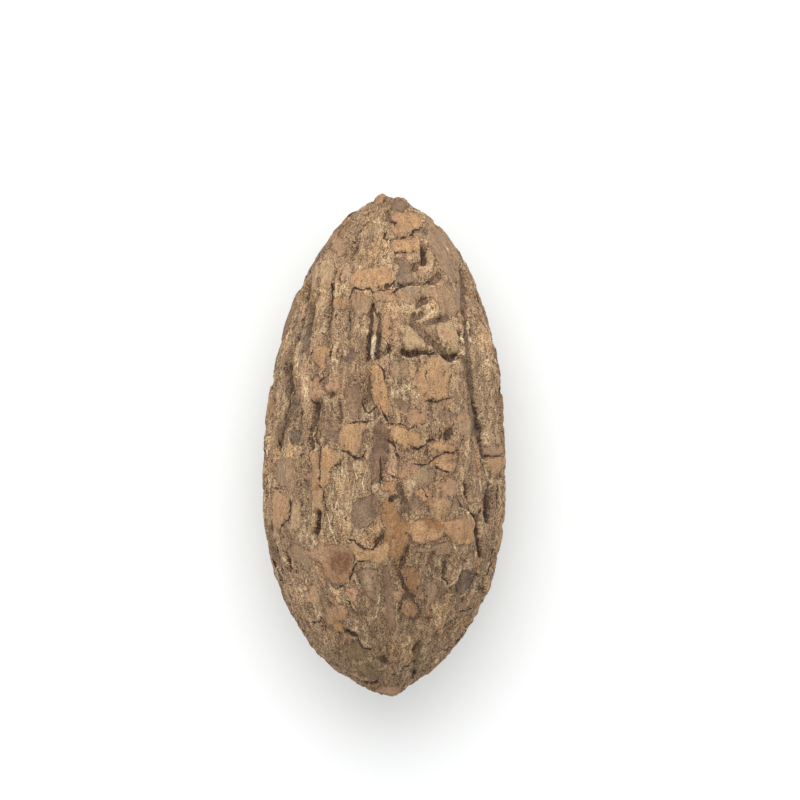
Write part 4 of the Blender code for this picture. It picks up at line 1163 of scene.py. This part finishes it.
def seed_material():
    """Dry woody skin: fibrous taupe ground with pale nets, smoother tan plates, cracks and pits, with painted shade
    in the hollows, at the plates' feet and in broad patches and bands.
    """
    material = bpy.data.materials.new("seed_coat_fine")
    material.use_nodes = True
    graph = Graph(material)
    shader = graph.tree.nodes["Principled BSDF"]
    grain = graph.attribute("grain", "Vector")
    warp = graph.noise(grain, 0.9, 3.0, output="Color")
    bent = graph.shifted(grain, warp, 0.8)
    speck = graph.noise(grain, 8.0, 1.5, 0.6)
    dots = graph.noise(graph.stretched(grain, 1.0, 0.7), 3.4, 2.0, 0.6)
    fleck = graph.noise(graph.stretched(bent, 1.0, 0.40), 2.6, 3.0, 0.65)
    streak = graph.noise(graph.stretched(bent, 1.0, 0.12), 2.2, 4.0, 0.65)
    thread = graph.noise(graph.stretched(bent, 1.0, 0.36), 4.6, 2.0, 0.6)
    band = graph.noise(graph.stretched(bent, 1.0, 0.07), 1.5, 2.0, 0.5)
    mottle = graph.noise(graph.stretched(bent, 1.0, 0.5), 0.7, 4.0, 0.6)
    tint = graph.noise(graph.stretched(bent, 1.0, 0.45), 0.5, 3.0, 0.6)

    # The ground: its wash of colour, made lighter and darker by streaks, mottling and grains
    ground = graph.attribute("ground", "Color")
    ground = graph.mix(graph.rise(tint, 0.54, 0.64, 0.0, 0.55), ground, colour4(TAN))
    ground = graph.mix(graph.rise(tint, 0.36, 0.45, 0.60, 0.0), ground, colour4(PINK_BROWN))
    ground = graph.mix(graph.rise(mottle, 0.36, 0.46, 0.70, 0.0), ground, colour4(PURPLE))
    olive = graph.noise(graph.stretched(bent, 1.0, 0.4), 0.6, 3.0, 0.55)
    ground = graph.mix(graph.rise(olive, 0.54, 0.64, 0.0, 0.55), ground, colour4(OLIVE_GREY))
    ground = graph.mix(graph.rise(streak, 0.36, 0.56, 0.55, 0.0), ground, colour4(TAUPE_DARK))
    ground = graph.mix(graph.rise(streak, 0.53, 0.70, 0.0, 0.45), ground, colour4(STRAW))
    ground = graph.mix(graph.rise(fleck, 0.28, 0.42, 0.70, 0.0), ground, colour4(FLECK_BROWN_AND_HOLLOW_SHADE))
    dashes = graph.noise(graph.stretched(bent, 1.0, 0.16), 4.0, 2.0, 0.6)
    often = graph.rise(graph.noise(grain, 0.25, 2.0), 0.40, 0.58, 0.25, 1.0)
    dash = graph.math("MULTIPLY", graph.rise(dashes, 0.33, 0.39, 0.85, 0.0), often)
    ground = graph.mix(dash, ground, colour4(CRACK_BLACK_AND_PIT_SHADE))

    # Pale nets: long cells with soft pale walls, in some places only
    net_place = graph.stretched(bent, 1.0, 0.33)
    wall = graph.rise(graph.net(net_place, 1.1), 0.01, 0.16, 1.0, 0.0)
    where = graph.rise(graph.noise(grain, 0.34, 2.0), 0.44, 0.62)
    net_share = graph.math("MULTIPLY", graph.math("MULTIPLY", wall, where), graph.rise(fleck, 0.36, 0.6, 0.15, 0.55))
    ground = graph.mix(net_share, ground, colour4(CREAM))
    hair = graph.rise(graph.noise(graph.stretched(bent, 1.0, 0.06), 3.6, 2.0), 0.62, 0.70, 0.0, 0.22)
    ground = graph.mix(hair, ground, colour4(CREAM))

    # Plates over the ground, with uneven edges and painted shade at their feet
    rough_edge = graph.math("MULTIPLY", graph.math("SUBTRACT", fleck, 0.5), 0.7)
    broad_edge = graph.math("MULTIPLY", graph.math("SUBTRACT", mottle, 0.5), 0.9)
    patch = graph.math("ADD", graph.attribute("patch"), graph.math("ADD", rough_edge, broad_edge))
    plate = graph.attribute("patch_colour", "Color")
    blotch = graph.noise(graph.shifted(grain, warp, 1.6), 1.0, 3.0, 0.6)
    green = graph.add("ShaderNodeSeparateColor", {0: plate}).outputs[1]
    pale_plate = graph.rise(green, 0.09, 0.16, 0.35, 1.0)
    tints = [
        (graph.rise(blotch, 0.36, 0.50, 0.65, 0.0), TAN_BROWN),
        (graph.rise(blotch, 0.52, 0.66, 0.0, 0.50), STRAW),
        (graph.rise(tint, 0.50, 0.60, 0.0, 0.50), PINK_BROWN),
        (graph.rise(olive, 0.50, 0.62, 0.0, 0.35), GREY_TAUPE),
    ]
    for share, tinted in tints:
        plate = graph.mix(graph.math("MULTIPLY", share, pale_plate), plate, colour4(tinted))
    plate = graph.mix(graph.rise(fleck, 0.36, 0.50, 0.30, 0.0), plate, colour4(TAUPE_DARK))
    plate = graph.mix(graph.rise(streak, 0.54, 0.70, 0.0, 0.20), plate, colour4(STRAW))
    plate = graph.mix(graph.rise(dots, 0.28, 0.40, 0.65, 0.0), plate, colour4(FLECK_BROWN_AND_HOLLOW_SHADE))
    cover = graph.math("MULTIPLY", graph.rise(patch, -0.20, 0.24), graph.rise(fleck, 0.28, 0.46, 0.55, 0.93))
    worn = graph.rise(graph.noise(grain, 0.7, 2.0), 0.38, 0.52, 0.72, 1.0)
    cover = graph.math("MULTIPLY", cover, worn)
    colour = graph.mix(cover, ground, plate)
    # Painted shade at the foot of the plates' raised edges, partly dark cracks there, broken up by noise
    rim = graph.math("MULTIPLY", graph.rise(patch, -0.16, -0.04), graph.rise(patch, -0.04, 0.05, 1.0, 0.0))
    rim = graph.math("MULTIPLY", rim, graph.rise(blotch, 0.42, 0.56, 0.80, 0.0))
    colour = graph.mix(rim, colour, colour4(FLECK_BROWN_AND_HOLLOW_SHADE))

    # Fibres, cracks, and painted shade in the hollows, over everything
    jitter = graph.math("MULTIPLY", graph.math("SUBTRACT", dots, 0.5), 0.30)
    crack = thin_line(graph, "crack", jitter)
    crack = graph.math("MULTIPLY", crack, graph.rise(fleck, 0.32, 0.46, 0.25, 0.92))
    colour = graph.mix(crack, colour, colour4(CRACK_BLACK_AND_PIT_SHADE))
    # Painted shade: groove and pit floors darken, the more the deeper they are
    hollow = graph.math("ADD", graph.attribute("hollow"), graph.math("MULTIPLY", jitter, 1.3))
    deep = graph.rise(graph.attribute("hollow_depth"), 0.20, 0.65, 0.30, 0.90)
    floor_shade = graph.math("MULTIPLY", graph.rise(hollow, -0.06, 0.06), deep)
    colour = graph.mix(floor_shade, colour, colour4(FLECK_BROWN_AND_HOLLOW_SHADE))
    # Painted shade: the cores of the deepest hollows go near black
    black = graph.math("MULTIPLY", graph.rise(hollow, 0.02, 0.20), graph.rise(speck, 0.40, 0.62, 0.90, 0.20))
    black = graph.math("MULTIPLY", black, graph.rise(graph.attribute("hollow_depth"), 0.42, 0.80))
    colour = graph.mix(black, colour, colour4(CRACK_BLACK_AND_PIT_SHADE))
    fibre = thin_line(graph, "fibre", jitter)
    fibre = graph.math("MULTIPLY", fibre, graph.rise(fleck, 0.30, 0.50, 0.40, 0.90))
    colour = graph.mix(fibre, colour, colour4(CREAM))
    pin = graph.rise(dots, 0.27, 0.33, 0.65, 0.0)
    colour = graph.mix(pin, colour, colour4(CRACK_BLACK_AND_PIT_SHADE))
    calm = graph.rise(patch, -0.10, 0.20, 1.0, 0.45)
    speck_light = graph.math("MULTIPLY", graph.math("SUBTRACT", speck, 0.5), 4.0)
    thread_light = graph.math("MULTIPLY", graph.math("SUBTRACT", thread, 0.5), 1.3)
    band_light = graph.math("MULTIPLY", graph.math("SUBTRACT", band, 0.5), 1.3)
    grain_light = graph.math("ADD", graph.math("ADD", speck_light, thread_light), band_light)
    grain_light = graph.math("MULTIPLY", grain_light, calm)
    grain_light = graph.math("ADD", graph.math("MAXIMUM", graph.math("MINIMUM", grain_light, 0.7), -0.7), 1.0)
    # The grain's lightness times the painted light and shade, warmed a little, multiplies the colour
    light = graph.math("MULTIPLY", grain_light, graph.attribute("tone"))
    red, blue = graph.math("MULTIPLY", light, 1.035), graph.math("MULTIPLY", light, 0.965)
    tone = graph.add("ShaderNodeCombineColor", {0: red, 1: light, 2: blue}).outputs[0]
    colour = graph.mix(1.0, colour, tone, "MULTIPLY")
    graph.feed(shader.inputs["Base Color"], colour)

    # Relief finer than the mesh
    height = graph.math("MULTIPLY", streak, 0.60)
    height = graph.math("ADD", height, graph.math("MULTIPLY", band, 0.80))
    height = graph.math("ADD", height, graph.math("MULTIPLY", thread, 0.25))
    height = graph.math("ADD", height, graph.math("MULTIPLY", speck, 0.15))
    height = graph.math("ADD", height, graph.math("MULTIPLY", fleck, 0.60))
    height = graph.math("ADD", height, graph.math("MULTIPLY", net_share, 0.20))
    height = graph.math("MULTIPLY", height, graph.rise(patch, -0.05, 0.15, 1.0, 0.55))
    height = graph.math("ADD", height, graph.math("MULTIPLY", graph.rise(patch, -0.10, 0.06), 0.30))
    height = graph.math("ADD", height, graph.math("MULTIPLY", fibre, 0.5))
    height = graph.math("SUBTRACT", height, graph.math("MULTIPLY", crack, 0.8))
    height = graph.math("SUBTRACT", height, graph.math("MULTIPLY", floor_shade, 0.6))
    bump = graph.add("ShaderNodeBump", {"Height": height, "Strength": 1.0, "Distance": 0.24 * MM})
    graph.feed(shader.inputs["Normal"], bump.outputs[0])
    graph.feed(shader.inputs["Roughness"], graph.rise(speck, 0.3, 0.7, 0.92, 0.74))
    shader.inputs["Specular IOR Level"].default_value = 0.25
    return material


def add_floor():
    """A plain pale floor."""
    bpy.ops.mesh.primitive_plane_add(size=3.0, location=(0.0, 0.0, 0.0))
    floor = bpy.context.object
    floor.name = "floor"
    material = bpy.data.materials.new("pale_floor")
    material.use_nodes = True
    shader = material.node_tree.nodes["Principled BSDF"]
    shader.inputs["Base Color"].default_value = (0.812, 0.827, 0.822, 1.0)
    shader.inputs["Roughness"].default_value = 0.9
    shader.inputs["Specular IOR Level"].default_value = 0.1
    floor.data.materials.append(material)


def add_area_light(name, place, size, power):
    """A square light at a place in metres that faces the seed."""
    data = bpy.data.lights.new(name, "AREA")
    data.shape = "SQUARE"
    data.size = size
    data.energy = power
    light = bpy.data.objects.new(name, data)
    light.location = place
    light.rotation_euler = (-Vector(place)).to_track_quat("-Z", "Y").to_euler()
    bpy.context.scene.collection.objects.link(light)


def add_lights():
    """Soft daylight from above, a little stronger from the tip's side and the left."""
    world = bpy.data.worlds.new("studio")
    world.use_nodes = True
    background = world.node_tree.nodes["Background"]
    background.inputs["Color"].default_value = (1.0, 1.0, 1.0, 1.0)
    background.inputs["Strength"].default_value = 1.0
    bpy.context.scene.world = world
    add_area_light("window", (-0.06, 0.86, 1.09), 1.3, 14.0)


def add_camera():
    """The photograph's view: from straight above the picture's middle."""
    data = bpy.data.cameras.new("camera")
    data.sensor_width = 36.0
    data.lens = data.sensor_width * FOCAL_PIXELS / PHOTO_SIZE
    data.clip_start = 0.01
    camera = bpy.data.objects.new("camera", data)
    camera.location = tuple(EYE * MM)
    bpy.context.scene.collection.objects.link(camera)
    bpy.context.scene.camera = camera


seed = build_seed()
seed.data.materials.append(seed_material())
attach(seed, "root")
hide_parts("seed")
add_floor()
add_lights()
add_camera()
bpy.context.scene.view_settings.view_transform = "Standard"
